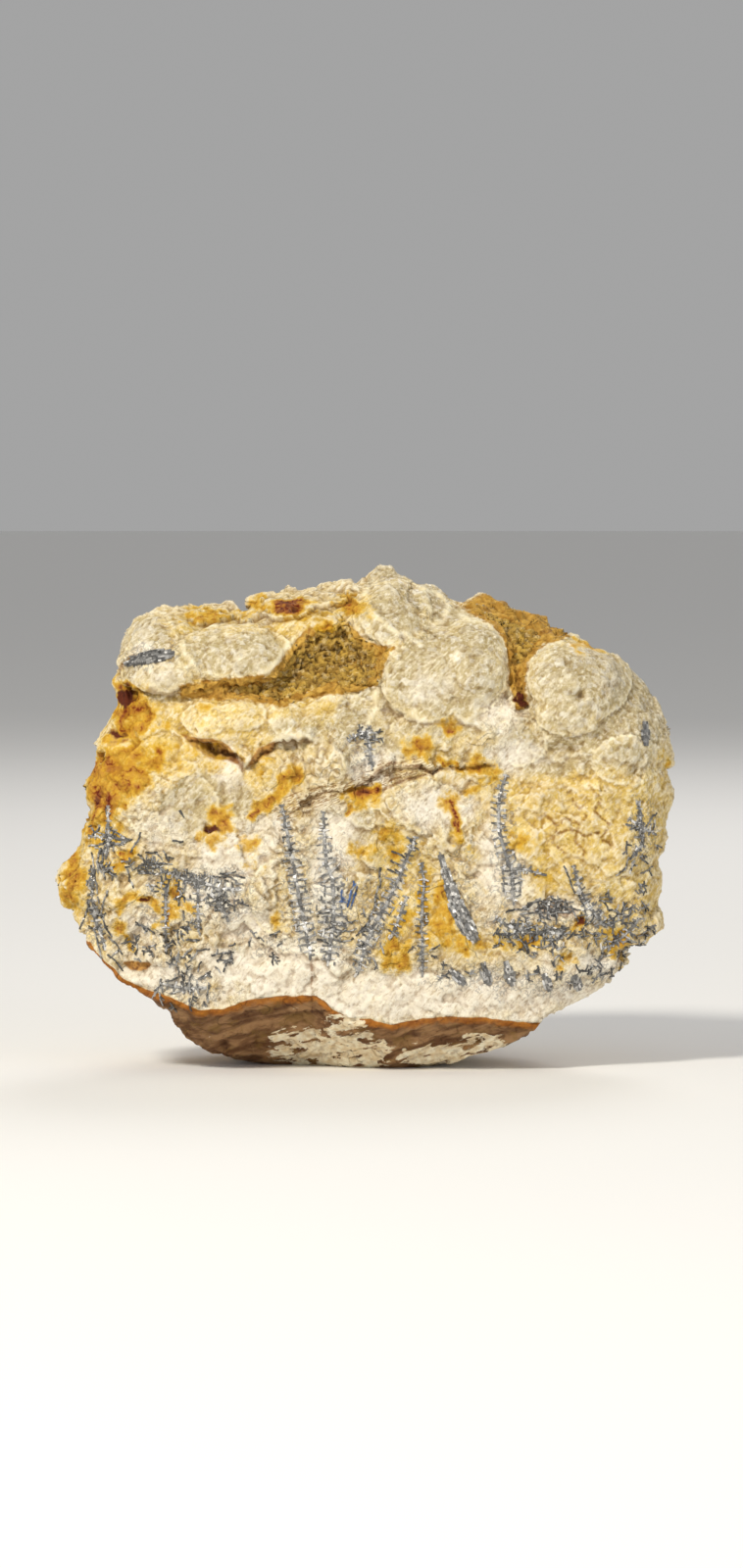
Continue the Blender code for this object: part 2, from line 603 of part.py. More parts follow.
def arm_loop(stations, grow, toothed):
    """Outline of one arm: plain, or with side branches that reach the full width."""
    centre = [(x, z) for x, z, half in stations]
    lengths = [0.0]
    for (ax, az), (bx, bz) in zip(centre, centre[1:]):
        lengths.append(lengths[-1] + math.hypot(bx - ax, bz - az))
    total = lengths[-1]
    keys_x = list(zip(lengths, [s[0] for s in stations]))
    keys_z = list(zip(lengths, [s[1] for s in stations]))
    keys_w = list(zip(lengths, [s[2] for s in stations]))
    if toothed:
        teeth = max(1, round(total / TOOTH_PITCH))
        marks = [total * i / (2 * teeth) for i in range(2 * teeth + 1)]
    else:
        marks = [-grow] + lengths[1:-1] + [total + grow]
    left, right = [], []
    for i, mark in enumerate(marks):
        x0, z0 = along_table(keys_x, mark - 0.4), along_table(keys_z, mark - 0.4)
        x1, z1 = along_table(keys_x, mark + 0.4), along_table(keys_z, mark + 0.4)
        along = Vector((x1 - x0, z1 - z0)).normalized()
        across = Vector((-along.y, along.x))
        x, z = along_table(keys_x, mark), along_table(keys_z, mark)
        if mark < 0 or mark > total:
            x += along.x * (mark - clamp(mark, 0, total))
            z += along.y * (mark - clamp(mark, 0, total))
        half = along_table(keys_w, mark) + grow
        if toothed and i % 2 == 0 and 0 < i < len(marks) - 1:
            half = half * NOTCH_SHARE
        left.append((x + across.x * half, z + across.y * half))
        right.append((x - across.x * half, z - across.y * half))
    return left + right[::-1]


def joined_fill(loops):
    """Triangles of the area that several overlapping loops cover together."""
    coords = []
    faces = []
    for loop in loops:
        faces.append(list(range(len(coords), len(coords) + len(loop))))
        coords += loop
    result = delaunay_2d_cdt([Vector(c) for c in coords], [], faces, 1, 1e-4)
    return [tuple(v) for v in result[0]], [tuple(f) for f in result[2]]


def floor_of(arms):
    """The deepest point of the show face along some arms."""
    return max(face_y(x, z) for stations in arms for x, z, half in stations)


def build_crystal(name, arms):
    loops = [arm_loop(stations, 0.0, True) for stations in arms]
    coords, triangles = joined_fill(loops)
    back = floor_of(arms) + CRYSTAL_DEPTH
    bm = slab(coords, triangles, lambda x, z: face_y(x, z) - CRYSTAL_PROUD, lambda x, z: back)
    return make_object(name, bm, LEAD_GREY)


def cut_pocket(rock, name, arms):
    loops = [arm_loop(stations, POCKET_GAP, False) for stations in arms]
    coords, triangles = joined_fill(loops)
    back = floor_of(arms) + CRYSTAL_DEPTH + POCKET_GAP
    bm = slab(coords, triangles, lambda x, z: -FRONT_REACH - 20, lambda x, z: back)
    cutter = make_object("cutter_" + name, bm, ROCK)
    cutter.hide_render = True
    cutter.display_type = "WIRE"
    pocket = rock.modifiers.new("pocket_" + name, "BOOLEAN")
    pocket.operation = "DIFFERENCE"
    pocket.solver = "EXACT"
    pocket.object = cutter


def galena_arms():
    """Every galena node with its arms, the tufts among them."""
    arms = dict(GALENA)
    for number, (top_x, top_z, foot_x, foot_z, half) in enumerate(TUFTS, 1):
        middle = ((top_x + foot_x) / 2, (top_z + foot_z) / 2, half)
        arms["galena_tuft_%d" % number] = [[(top_x, top_z, 0.4), middle, (foot_x, foot_z, 0.5)]]
    return arms


# ---------------------------------------------------------------------------- crusts

def build_crust(name, edge, coords, triangles):
    """A thin rough crust over a hollow's floor, clear of the rock behind it."""
    def middle(triangle):
        return [sum(coords[i][k] for i in triangle) / 3 for k in (0, 1)]

    def back(x, z):
        return face_y(x, z) - CRUST_GAP

    def front(x, z):
        return back(x, z) - CRUST_THICKNESS - 0.45 * rough(x, 3, z, 2.6, 8.3)

    floor = [triangle for triangle in triangles if is_inside(edge, *middle(triangle))]
    used = sorted({i for triangle in floor for i in triangle})
    order = {i: new for new, i in enumerate(used)}
    floor = [tuple(order[i] for i in triangle) for triangle in floor]
    return make_object(name, slab([coords[i] for i in used], floor, front, back), OCHRE)


# ---------------------------------------------------------------------------- build

def centre_depth(things):
    """Move everything along Y so that the specimen's depth is centred on the origin."""
    depths = [v.co.y for thing in things for v in thing.data.vertices]
    middle = (min(depths) + max(depths)) / 2
    for thing in bpy.data.objects:
        for vert in thing.data.vertices:
            vert.co.y -= middle


face_coords, face_triangles = show_face()
matrix_rock = build_rock(face_coords, face_triangles)
for crystal_name, crystal_arms in galena_arms().items():
    build_crystal(crystal_name, crystal_arms)
    cut_pocket(matrix_rock, crystal_name, crystal_arms)
build_crust("crust_large_hollow", LARGE_CRUST, face_coords, face_triangles)
build_crust("crust_right_hollow", RIGHT_CRUST, face_coords, face_triangles)
centre_depth([thing for thing in bpy.data.objects if not thing.hide_render])
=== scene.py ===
import itertools
import math
import random
import bpy
import numpy as np
from mathutils import Euler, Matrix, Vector
from mathutils.bvhtree import BVHTree
from mathutils.kdtree import KDTree


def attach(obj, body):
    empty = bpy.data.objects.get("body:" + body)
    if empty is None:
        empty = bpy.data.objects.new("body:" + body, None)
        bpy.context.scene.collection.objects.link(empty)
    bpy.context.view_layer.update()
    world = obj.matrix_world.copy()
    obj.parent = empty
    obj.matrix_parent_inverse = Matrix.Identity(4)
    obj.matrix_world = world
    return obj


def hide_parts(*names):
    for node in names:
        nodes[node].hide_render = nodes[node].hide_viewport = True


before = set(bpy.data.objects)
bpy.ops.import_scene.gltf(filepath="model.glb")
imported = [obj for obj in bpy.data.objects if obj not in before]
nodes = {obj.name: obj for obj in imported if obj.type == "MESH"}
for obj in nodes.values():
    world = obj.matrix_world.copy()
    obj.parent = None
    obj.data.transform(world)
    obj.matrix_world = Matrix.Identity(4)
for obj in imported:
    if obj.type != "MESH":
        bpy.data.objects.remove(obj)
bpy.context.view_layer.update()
mm = 0.001      # every table below is in millimetres, every mesh in metres
weldReach = 0.01      # corners of a solid closer than this are one


# camera, lights and floor
studio = {
    "aim": (1.33, -18.0, 58.2),
    "distance": 1100.0,
    "climb": 3.0,                 # degrees above the horizon
    "frameHeight": 320.0,         # what the frame's height covers at the aim
    "sensor": 36.0,
    "nearClip": 10.0,
    "lampAim": (0, 0, 50),
    "lamps": {
        "keyLamp": {"place": (-600, -860, 960), "size": 240, "power": 14.2, "color": (1.0, 0.955, 0.86)},
        "fillLamp": {"place": (760, -900, 380), "size": 700, "power": 2.3, "color": (0.97, 0.98, 1.0)},
        "backLamp": {"place": (250, 900, 900), "size": 600, "power": 4.0, "color": (1.0, 0.98, 0.96)},
    },
    "floorSize": 40000.0,
    "floorCorners": 96,
    "floorColor": (0.88, 0.87, 0.85),
    "floorRoughness": 0.9,
    "skyColor": (0.88, 0.88, 0.88),
    "skyLevel": 0.42,
}


def clearSelection():
    if bpy.context.object and bpy.context.object.mode != "OBJECT":
        bpy.ops.object.mode_set(mode="OBJECT")
    bpy.ops.object.select_all(action="DESELECT")


def aimAt(thing, target):
    thing.rotation_euler = (Vector(target) * mm - thing.location).to_track_quat("-Z", "Y").to_euler()


def setUpCamera():
    climb = math.radians(studio["climb"])
    back = Vector((0, -math.cos(climb), math.sin(climb))) * studio["distance"] * mm
    bpy.ops.object.camera_add(location=Vector(studio["aim"]) * mm + back)
    camera = bpy.context.object
    camera.name = "studioCamera"
    aimAt(camera, studio["aim"])
    camera.data.sensor_fit = "VERTICAL"
    camera.data.sensor_height = studio["sensor"]
    camera.data.lens = studio["sensor"] * studio["distance"] / studio["frameHeight"]
    camera.data.clip_start = studio["nearClip"] * mm
    bpy.context.scene.camera = camera


def setUpStudio():
    for name, lamp in studio["lamps"].items():
        bpy.ops.object.light_add(type="AREA", location=Vector(lamp["place"]) * mm)
        light = bpy.context.object
        light.name = name
        light.data.shape = "DISK"
        light.data.size = lamp["size"] * mm
        light.data.energy = lamp["power"]
        light.data.color = lamp["color"]
        aimAt(light, studio["lampAim"])
    bpy.ops.mesh.primitive_circle_add(
        vertices=studio["floorCorners"], radius=studio["floorSize"] / 2 * mm, fill_type="NGON")
    floor = bpy.context.object
    floor.name = "floor"
    paint = bpy.data.materials.new("palePaper")
    paint.use_nodes = True
    shader = paint.node_tree.nodes["Principled BSDF"]
    shader.inputs["Base Color"].default_value = (*studio["floorColor"], 1)
    shader.inputs["Roughness"].default_value = studio["floorRoughness"]
    floor.data.materials.append(paint)
    sky = bpy.data.worlds.new("paleSky")
    bpy.context.scene.world = sky
    sky.use_nodes = True
    sky.node_tree.nodes["Background"].inputs["Color"].default_value = (*studio["skyColor"], 1)
    sky.node_tree.nodes["Background"].inputs["Strength"].default_value = studio["skyLevel"]
    bpy.context.scene.view_settings.view_transform = "Standard"


clearSelection()
setUpCamera()
setUpStudio()
clearSelection()
print("camera, lamps and floor")


# fields over points: smooth lumps, flat chips, and distances to spots, strokes and loops
# the lumps' hash: whole steps along x, y and z and from seed to seed, a factor that mixes them, and a shift
# of the lumps for each seed
hashing = {"steps": (374761393, 668265263, 2147483647), "seedStep": 974711, "mix": 1274126177,
           "seedShift": 13.71}


def ease(value):
    value = np.clip(value, 0.0, 1.0)
    return value * value * (3 - 2 * value)


def below(value, limit, band):
    # nothing from the limit up, whole from one band under it down
    return ease((limit - value) / band)


def above(value, limit, band):
    return ease((value - limit) / band)


def lumps(points, size, seed, stretch=(1, 1, 1)):
    # smooth noise from -1 to 1, hashed at the eight corners around each point
    cell = points / (size * np.array(stretch)) + seed * hashing["seedShift"]
    corner = np.floor(cell)
    part = ease(cell - corner)
    corner = corner.astype(np.int64)
    total = np.zeros(len(points))
    for step in itertools.product((0, 1), repeat=3):
        key = ((corner + step) @ np.array(hashing["steps"]) + seed * hashing["seedStep"]) & 0xFFFFFFFF
        key = ((key ^ (key >> 13)) * hashing["mix"]) & 0xFFFFFFFF
        level = ((key ^ (key >> 16)) & 0xFFFF) / 32767.5 - 1
        weight = np.where(step, part, 1 - part)
        total += level * (weight[:, 0] * weight[:, 1]) * weight[:, 2]
    return total


def layeredLumps(points, size, seed, layers=3, stretch=(1, 1, 1)):
    return sum(lumps(points, size / 2 ** k, seed + 7 * k, stretch) / 2 ** k for k in range(layers)) / 1.5


def chips(points, size, slope, seed, crystals=False, spread=0.22):
    # flat facets of about the given size, each tilted its own way and a little higher or lower than its
    # neighbours by spread, as on a fresh break
    picker = np.random.default_rng(seed)
    cells = {}
    for index in picker.permutation(len(points)):
        cells.setdefault(tuple((points[index] // size).astype(int)), index)
    seeds = np.array(sorted(cells.values()))
    tree = KDTree(len(seeds))
    for number, index in enumerate(seeds):
        tree.insert(points[index], number)
    tree.balance()
    near = np.array([[hit[1] for hit in tree.find_n(point, 3)] for point in points])
    tilts = picker.normal(size=(len(seeds), 3)) * slope
    starts = picker.uniform(-spread, spread, len(seeds)) * size * slope
    heights = [starts[facet] + np.einsum("ij,ij->i", points - points[seeds[facet]], tilts[facet])
               for facet in near.T]
    return np.minimum.reduce(heights) if crystals else np.maximum.reduce(heights) * 0.5 + heights[0] * 0.5


def terrace(height, step, slope=0.3):
    # a smooth height broken into level sheets, with steep edges over a share of each step
    level = height / step
    whole = np.floor(level)
    return (whole + ease((level - whole - (1 - slope)) / slope)) * step


def layer(points, field, height=1.0, step=0, **kind):
    # a layer of relief in millimetres: one of the fields above, terraced where it has a step
    level = field(points, **kind)
    return height * (terrace(level, step) if step else level)


def nearestOn(x, z, start, end):
    # how far along a straight piece each point is nearest to it, from 0 to 1, and how far away that is
    dx, dz = end[0] - start[0], end[1] - start[1]
    share = np.clip(((x - start[0]) * dx + (z - start[1]) * dz) / (dx * dx + dz * dz + 1e-9), 0, 1)
    return share, np.hypot(x - start[0] - share * dx, z - start[1] - share * dz)


def lineDistance(x, z, line):
    return np.minimum.reduce([nearestOn(x, z, start, end)[1] for start, end in zip(line, line[1:])])


def insetOf(x, z, loop):
    # how far inside a loop, negative outside it
    ring = loop + loop[:1]
    inside = np.zeros(len(x), bool)
    for (ax, az), (bx, bz) in zip(ring, ring[1:]):
        crosses = (az > z) != (bz > z)
        inside ^= crosses & (x < ax + (z - az) * (bx - ax) / ((bz - az) or 1e-9))
    away = lineDistance(x, z, ring)
    return np.where(inside, away, -away)


def softMask(inset, band):
    # half at the edge, whole at one band inside it, nothing at one band outside
    return np.clip(0.5 + inset / (2 * band), 0, 1)


def spotMask(x, z, spots, band):
    # each spot has a middle, two half widths and, if it isn't whole, a strength
    best = np.zeros(len(x))
    for cx, cz, rx, rz, *strength in spots:
        reach = np.sqrt(((x - cx) / rx) ** 2 + ((z - cz) / rz) ** 2)
        level = softMask((1 - reach) * min(rx, rz), min(band, min(rx, rz)))
        best = np.maximum(best, level * (strength[0] if strength else 1.0))
    return best


def strokeMask(x, z, strokes, band):
    # each stroke is a line and its half width
    return np.maximum.reduce([softMask(width - lineDistance(x, z, line), band) for line, width in strokes])


def loopMask(x, z, loops, band):
    return np.maximum.reduce([softMask(insetOf(x, z, loop), band) for loop in loops])


# meshes as arrays of points in millimetres
def pick(piece):
    clearSelection()
    piece.select_set(True)
    bpy.context.view_layer.objects.active = piece


def applyModifiers(piece):
    pick(piece)
    for modifier in list(piece.modifiers):
        bpy.ops.object.modifier_apply(modifier=modifier.name)


def mergedCopy(node, name):
    mesh = nodes[node].data.copy()
    mesh.materials.clear()
    piece = bpy.data.objects.new(name, mesh)
    bpy.context.collection.objects.link(piece)
    pick(piece)
    bpy.ops.object.mode_set(mode="EDIT")
    bpy.ops.mesh.select_all(action="SELECT")
    bpy.ops.mesh.remove_doubles(threshold=weldReach * mm)
    bpy.ops.object.mode_set(mode="OBJECT")
    return piece


def remesh(piece, voxel, rounds):
    # an even skin, softened over a few rounds
    skin = piece.modifiers.new("evenSkin", "REMESH")
    skin.mode = "VOXEL"
    skin.voxel_size = voxel * mm
    soften = piece.modifiers.new("soften", "SMOOTH")
    soften.iterations = rounds
    applyModifiers(piece)


def readArray(items, name, width, kind=np.float32):
    flat = np.empty(len(items) * width, dtype=kind)
    items.foreach_get(name, flat)
    return flat.reshape(-1, width)


def pointsOf(piece):
    return readArray(piece.data.vertices, "co", 3).astype(float) / mm


def normalsOf(piece):
    return readArray(piece.data.vertices, "normal", 3).astype(float)


def edgesOf(piece):
    return readArray(piece.data.edges, "vertices", 2, np.int32)


def movePoints(piece, points):
    piece.data.vertices.foreach_set("co", (points * mm).astype(np.float32).ravel())
    piece.data.update()


def sunkBy(points, normals, edges, rounds):
    # how deep each point lies under the mean of its neighbours, taken over some rounds; negative on a rise
    first, second = edges[:, 0], edges[:, 1]
    count = len(points)
    shares = np.bincount(first, minlength=count) + np.bincount(second, minlength=count) + 1.0
    columns = list(points.T)
    for step in range(rounds):
        totals = [np.bincount(first, column[second], count) + np.bincount(second, column[first], count)
                  for column in columns]
        columns = [(column + total) / shares for column, total in zip(columns, totals)]
    return np.einsum("ij,ij->i", np.stack(columns, axis=1) - points, normals)


def storeColor(piece, name, red, green, blue):
    stored = piece.data.attributes.new(name, "FLOAT_COLOR", "POINT")
    values = np.stack([red, green, blue, np.ones(len(red))], axis=1).astype(np.float32)
    stored.data.foreach_set("color", values.ravel())


# galena: each feather is a jagged stem with side branches, laid out of short overlapping bars
galena = {
    # stem: step, overlap, width, sway in radians, and how the width follows the feather's half width
    "stemPitch": 0.6, "stemOverlap": 1.3, "stemWidth": 0.56, "stemSway": 0.2, "stemSwell": (0.6, 0.35, 1.3),
    # side branches: step, width, sway, reach as a share of the half width, and what is added to it
    "branchPitch": 1.35, "branchWidth": 0.32, "branchSway": 0.14, "branchReach": (0.6, 1.05),
    "branchStub": 0.2,
    # barbs on the branches, and loose specks
    "barbPitch": 1.7, "barbWidth": 0.26, "barbReach": (0.4, 0.8), "specksPerArea": 0.7, "speckWidth": 0.34,
    "speckLength": 0.5,
    # bars of every stroke: length, overlap, range of widths, taper to the tip, wander in radians
    "barLength": 0.62, "overlap": 1.45, "widths": (0.75, 1.2), "taper": 0.3, "wander": 0.16,
    # rows of a blade
    "bladeStep": 0.36, "bladeWidth": 0.42, "bladeSway": 0.05,
    # loose twigs, and where, how wide and how large they fork
    "twigLength": (0.8, 3), "twigWidth": 0.29, "twigSway": 0.3, "twigCurl": 0.12, "twigFork": (0.2, 0.9),
    "twigSpread": (0.8, 1.6), "forkSize": (0.4, 0.85),
    # bedding: rays start here, and find no hold on steeper or hidden rock
    "rayStart": -60, "steepest": -0.25,
    # thickness, its range, the middle's height over the rock as a share of it, tilts in radians, and the
    # bevel and the width from which a bar has one
    "thickness": 0.42, "thicknesses": (0.8, 1.2), "lift": 0.12, "tips": (0.22, 0.14), "bevel": 0.16,
    "bevelFrom": 0.46,
    # brightness from the darkest bar to the lightest, the light ones standing as painted glints, how rare
    # they are, and the spot of painted blue glints
    "featherLight": (0.12, 1), "twigLight": (0, 0.6), "bladeLight": (0.05, 0.5), "lightCurve": 2.4,
    "blueSpot": (-2.7, 36.2, 2.8), "blueShare": 0.8, "blueGlint": 0.8,
    # seeds, and the long curved strokes drawn one by one
    "featherSeed": 100, "twigSeed": 7, "lineWidth": 0.34, "lineOverlap": 0.2,
    "lines": [
        [(-52.5, 53.5), (-52, 51.3), (-52.2, 49.1), (-52, 47), (-53.1, 44.6), (-53.1, 41.9), (-52.4, 39.7)],
        [(-56, 45.9), (-53.8, 46.3), (-51.6, 46.7), (-49.3, 46.8), (-47.3, 47.4)],
        [(-56, 49.9), (-54.7, 48.8), (-53.1, 48.4), (-51.1, 47.8), (-48.4, 47.5)],
        [(-55.6, 47.9), (-54, 49.1), (-53.8, 49.9)], [(-47.3, 45), (-46.4, 46.6), (-44.9, 48.4)],
        [(-51.1, 49.1), (-49.8, 48.5), (-48.4, 47.8)], [(-52, 46.1), (-49.8, 46.3), (-47.7, 47)],
        [(-55.4, 44.6), (-55.1, 42.3), (-54.5, 40.1)], [(-53.8, 45), (-54.2, 42.8), (-53.7, 40.8)],
        [(-45.7, 44.6), (-44.7, 43.2), (-41.7, 42.6), (-39.2, 42.8)],
        [(-44.4, 45), (-42.2, 44.6), (-41, 43.7)], [(-45.3, 42.3), (-43, 42.1), (-40.4, 41.4)],
        [(-45.7, 40.6), (-43.5, 40.8), (-41.2, 40.1), (-41, 38.3)],
        [(-31.6, 40.1), (-28.7, 39.9), (-26, 40.2), (-24.5, 39.7)],
        [(-48, 41.4), (-47.5, 39.2), (-46.8, 37.9)], [(-38.8, 47.3), (-37, 47.2)],
        [(-37.4, 53.3), (-36.8, 52.2)], [(-54.5, 41.2), (-56.1, 35), (-55.1, 29), (-52.1, 24), (-48.9, 21.2)],
        [(-52.1, 37), (-53.3, 32), (-51.9, 27.6), (-49.1, 24.4)],
        [(55.1, 55.1), (55.5, 52.9), (55.6, 50.6), (56.4, 48.1), (56.6, 46.4), (55.1, 44.7), (53.6, 43.1)],
        [(53, 50.4), (54.7, 49.8), (56, 48.5)], [(56.4, 48.5), (57.6, 50.2), (58.9, 52.5)],
        [(50.9, 40.1), (52.6, 41.2), (53.6, 43.5)], [(56, 43.5), (57.2, 42.2)],
        [(3.2, 41.7), (2.6, 38), (2.2, 34.6), (1, 31.2), (-0.7, 28.8)],
        [(1.6, 32), (0.4, 29.6), (-1.6, 28.2)], [(5.5, 45.1), (7.9, 44.2)], [(5.3, 43.2), (7.4, 42.3)],
        [(4.6, 41.5), (6.6, 40.8)], [(4.2, 39.8), (6, 39.2)], [(8.5, 48), (10.4, 47)],
        [(8.9, 46.4), (10.8, 45.6)], [(-9.6, 32.6), (-7, 32.9), (-2.2, 32.2)],
        [(-9.4, 30.9), (-6.5, 31), (-1.6, 30.4)], [(-9.4, 29), (-6, 29.4), (-1.9, 28.6)],
        [(-9.6, 27.4), (-6.2, 27.2), (-2.4, 26.8)], [(-3.6, 34), (-2.9, 36.2), (-2.2, 38.4)],
        [(-2.9, 33.6), (-2.2, 35.8), (-1.6, 37.8)], [(-3.2, 35), (-2.6, 37), (-2, 38.8)],
        [(31.5, 32.2), (36, 33.4), (41, 32.6)], [(30, 30.2), (35, 31), (40.6, 29.6)],
        [(29, 28.2), (35, 28.8), (41, 27.2)], [(32, 33.8), (35.5, 34.9), (39.5, 34.6)],
        [(31.6, 33.2), (35.6, 34.5), (40, 34.2)],
        [(28.5, 32.8), (33, 34.4), (38, 35.4), (41.8, 33.8), (43.6, 30.8)],
        [(40.3, 42), (43.1, 37), (44.7, 32)]],
}
# the arms of each crystal body: x, z and half width along them
feathers = {
    "galena_feather_tall_left": [
        [(-16.8, 54.4, 0.3), (-15.9, 49.5, 1), (-15, 45, 1.3), (-14.2, 40.5, 1.9), (-13.2, 35.5, 2.2),
         (-12.3, 30.5, 2.1), (-11.5, 26.5, 1.6), (-10.9, 23.6, 0.5)]],
    "galena_feather_hatched": [
        [(-8.4, 53, 0.3), (-8.2, 48, 1.2), (-7.8, 42.4, 1.8), (-6.5, 39.6, 3), (-6.4, 35, 3.3),
         (-6.4, 30.6, 3.2), (-7, 26, 2.2), (-7.4, 22.4, 1.2)]],
    "galena_feather_leaning": [
        [(10.2, 48, 0.4), (7.8, 42, 1.2), (4.9, 35.4, 1.5), (2.3, 31, 1.9), (0.3, 26.6, 2), (-1.8, 20, 1)]],
    "galena_feather_short": [[(8.4, 35.8, 0.5), (6.9, 31.6, 1.1), (5.2, 27.4, 0.9)]],
    "galena_feather_slim": [
        [(11.3, 42.6, 0.4), (12, 39.4, 1), (11.5, 32.6, 1.2), (11.6, 26, 1), (11.6, 20, 0.6)]],
    "galena_spear": [
        [(15.2, 44.6, 0.3), (16.6, 40, 0.9), (18.5, 34, 1.5), (20.8, 29.6, 1.7), (22.6, 26.6, 0.6)]],
    "galena_feather_tall_right": [
        [(28.6, 60.4, 0.4), (27.2, 56, 1.5), (27, 49.4, 1.3), (28.2, 45, 1.8), (29.8, 41, 2.1),
         (29.8, 37, 2.1), (30.2, 34.4, 1)],
        [(29.8, 41.6, 1), (33.2, 41.2, 0.8), (36.4, 40.2, 0.4)]],
    "galena_feather_low_right": [[(42.2, 42, 0.3), (43.6, 37, 1.1), (46.4, 32.4, 1.7), (48.8, 29.4, 1.3)]],
    "galena_star": [
        [(55.6, 54.8, 0.3), (56, 50.6, 0.7), (56.2, 46.2, 0.7), (54, 43.4, 0.4)],
        [(53.6, 51.4, 0.4), (56.4, 49.6, 0.9), (59.2, 48.2, 0.4)]],
    "galena_tee": [
        [(-3.4, 67.6, 0.3), (-1, 68.8, 0.8), (1.6, 69.2, 0.7)],
        [(0.4, 69.4, 1.1), (0.9, 65.6, 0.9), (1.5, 61.8, 0.3)]],
    "galena_thicket_left": [
        [(-33.8, 39.6, 0.8), (-29.6, 37.4, 2.2), (-25.4, 37.6, 1.4)],
        [(-31, 36.6, 1.8), (-28.6, 33.6, 1.6), (-27.6, 31.2, 0.6)],
        [(-33.6, 39, 0.7), (-33.8, 34, 0.8), (-33.6, 28.4, 0.5)],
        [(-40.2, 41, 0.4), (-36.6, 39.6, 1), (-33, 39.4, 0.9)]],
    "galena_reed_left": [[(-40.4, 37.6, 0.4), (-40.4, 31, 0.7), (-40.2, 24.6, 0.4)]],
    "galena_branch_left": [
        [(-52, 54, 0.2), (-51.8, 48.4, 0.5), (-52.6, 43.4, 0.3)],
        [(-56, 47.8, 0.2), (-51.8, 47.8, 0.5), (-47.6, 47.6, 0.2)]],
    "galena_feather_left_edge": [
        [(-55.4, 40.4, 0.4), (-55.2, 35, 0.9), (-54.2, 29.6, 0.9), (-52.6, 25.2, 0.4)]],
    "galena_patch_low_left": [[(-41.4, 18.4, 0.6), (-37, 17.4, 1.4), (-32.4, 17.4, 1.2)]],
    "galena_streaks_middle_right": [
        [(26.4, 31.4, 0.5), (29.2, 30, 1.3), (33.4, 28.6, 1.6), (37.6, 28.4, 1.4), (40.8, 28, 0.7)]],
    "galena_patch_low_right": [[(48, 25, 0.7), (51, 26, 1.1), (53.6, 28.4, 1.2), (55.6, 31, 0.8)]],
    "galena_blade_top_left": [[(-48.7, 82.6, 0.4), (-45.2, 83.9, 1.2), (-41.6, 84.6, 1.3), (-38.4, 85, 0.4)]],
    "galena_blade_right": [[(57, 70.6, 0.4), (57, 68.4, 0.9), (57, 66, 0.3)]],
    "galena_tuft_1": [[(17.4, 21, 0.4), (18.9, 19.5, 1), (20.4, 18, 0.5)]],
    "galena_tuft_2": [[(24, 22.2, 0.4), (24.6, 20, 1), (25.2, 17.8, 0.5)]],
    "galena_tuft_3": [[(28.6, 22.4, 0.4), (29.3, 20, 1.1), (30, 17.6, 0.5)]],
    "galena_tuft_4": [[(36.4, 19.8, 0.4), (37, 18.1, 1), (37.6, 16.4, 0.5)]],
    "galena_tuft_5": [[(42.6, 19.4, 0.4), (43.1, 17.9, 0.9), (43.6, 16.4, 0.5)]],
}


def modelGrain(name, bevel):
    clearSelection()
    bpy.ops.mesh.primitive_cube_add(size=1.0)
    grain = bpy.context.object
    grain.name = name
    if bevel:
        bpy.ops.object.mode_set(mode="EDIT")
        bpy.ops.mesh.select_all(action="SELECT")
        bpy.ops.mesh.bevel(offset=bevel, segments=1, affect="EDGES")
        bpy.ops.object.mode_set(mode="OBJECT")
    corners = np.array([v.co for v in grain.data.vertices])
    faces = [tuple(face.vertices) for face in grain.data.polygons]
    bpy.data.objects.remove(grain, do_unlink=True)
    return corners, faces


bevelledCube, plainCube = modelGrain("bevelledCube", galena["bevel"]), modelGrain("plainCube", 0)


def alongArm(arm, step):
    # points every step along an arm: x, z, half width and angle
    for (ax, az, aw), (bx, bz, bw) in zip(arm, arm[1:]):
        count = max(1, round(math.hypot(bx - ax, bz - az) / step))
        for k in range(count):
            share = k / count
            yield (ax + (bx - ax) * share, az + (bz - az) * share, aw + (bw - aw) * share,
                   math.atan2(bz - az, bx - ax))


def ahead(x, z, angle, reach):
    return x + reach * math.cos(angle), z + reach * math.sin(angle)


def stroke(x, z, angle, length, width, dice, curl=0.0):
    # one thin crystal as overlapping bars: x, z, angle, length and width of each
    bars = []
    count = max(1, round(length / galena["barLength"]))
    step = length / count
    for k in range(count):
        thick = width * dice.uniform(*galena["widths"]) * (1 - galena["taper"] * k / count)
        bars.append((*ahead(x, z, angle, step / 2), angle, step * galena["overlap"], thick))
        x, z = ahead(x, z, angle, step)
        angle += curl + dice.gauss(0, galena["wander"])
    return bars


def featherBars(arms, dice):
    # the bars of one feather: stem, side branches, barbs on the long ones, and loose specks between them
    bars = []
    least, swell, most = galena["stemSwell"]
    for arm in arms:
        for x, z, width, angle in alongArm(arm, galena["stemPitch"]):
            thick = galena["stemWidth"] * min(most, least + swell * width)
            way = angle + dice.gauss(0, galena["stemSway"])
            bars += stroke(x, z, way, galena["stemPitch"] * galena["stemOverlap"], thick, dice)
            if dice.random() < width * galena["specksPerArea"] * galena["stemPitch"]:
                across = angle + math.pi / 2
                place = ahead(x, z, across, dice.uniform(-1, 1) * width)
                bars += stroke(*place, dice.choice((angle, across)), galena["speckLength"],
                               galena["speckWidth"], dice)
        for x, z, width, angle in alongArm(arm, galena["branchPitch"]):
            for side in (-1, 1):
                reach = width * dice.uniform(*galena["branchReach"]) + galena["branchStub"]
                way = angle + side * (math.pi / 2 + dice.gauss(0, galena["branchSway"]))
                bars += stroke(x, z, way, reach, galena["branchWidth"], dice)
                for k in range(1, int(reach / galena["barbPitch"]) + 1):
                    bars += stroke(*ahead(x, z, way, k * galena["barbPitch"]),
                                   angle + dice.choice((0, math.pi)), dice.uniform(*galena["barbReach"]),
                                   galena["barbWidth"], dice)
    return bars


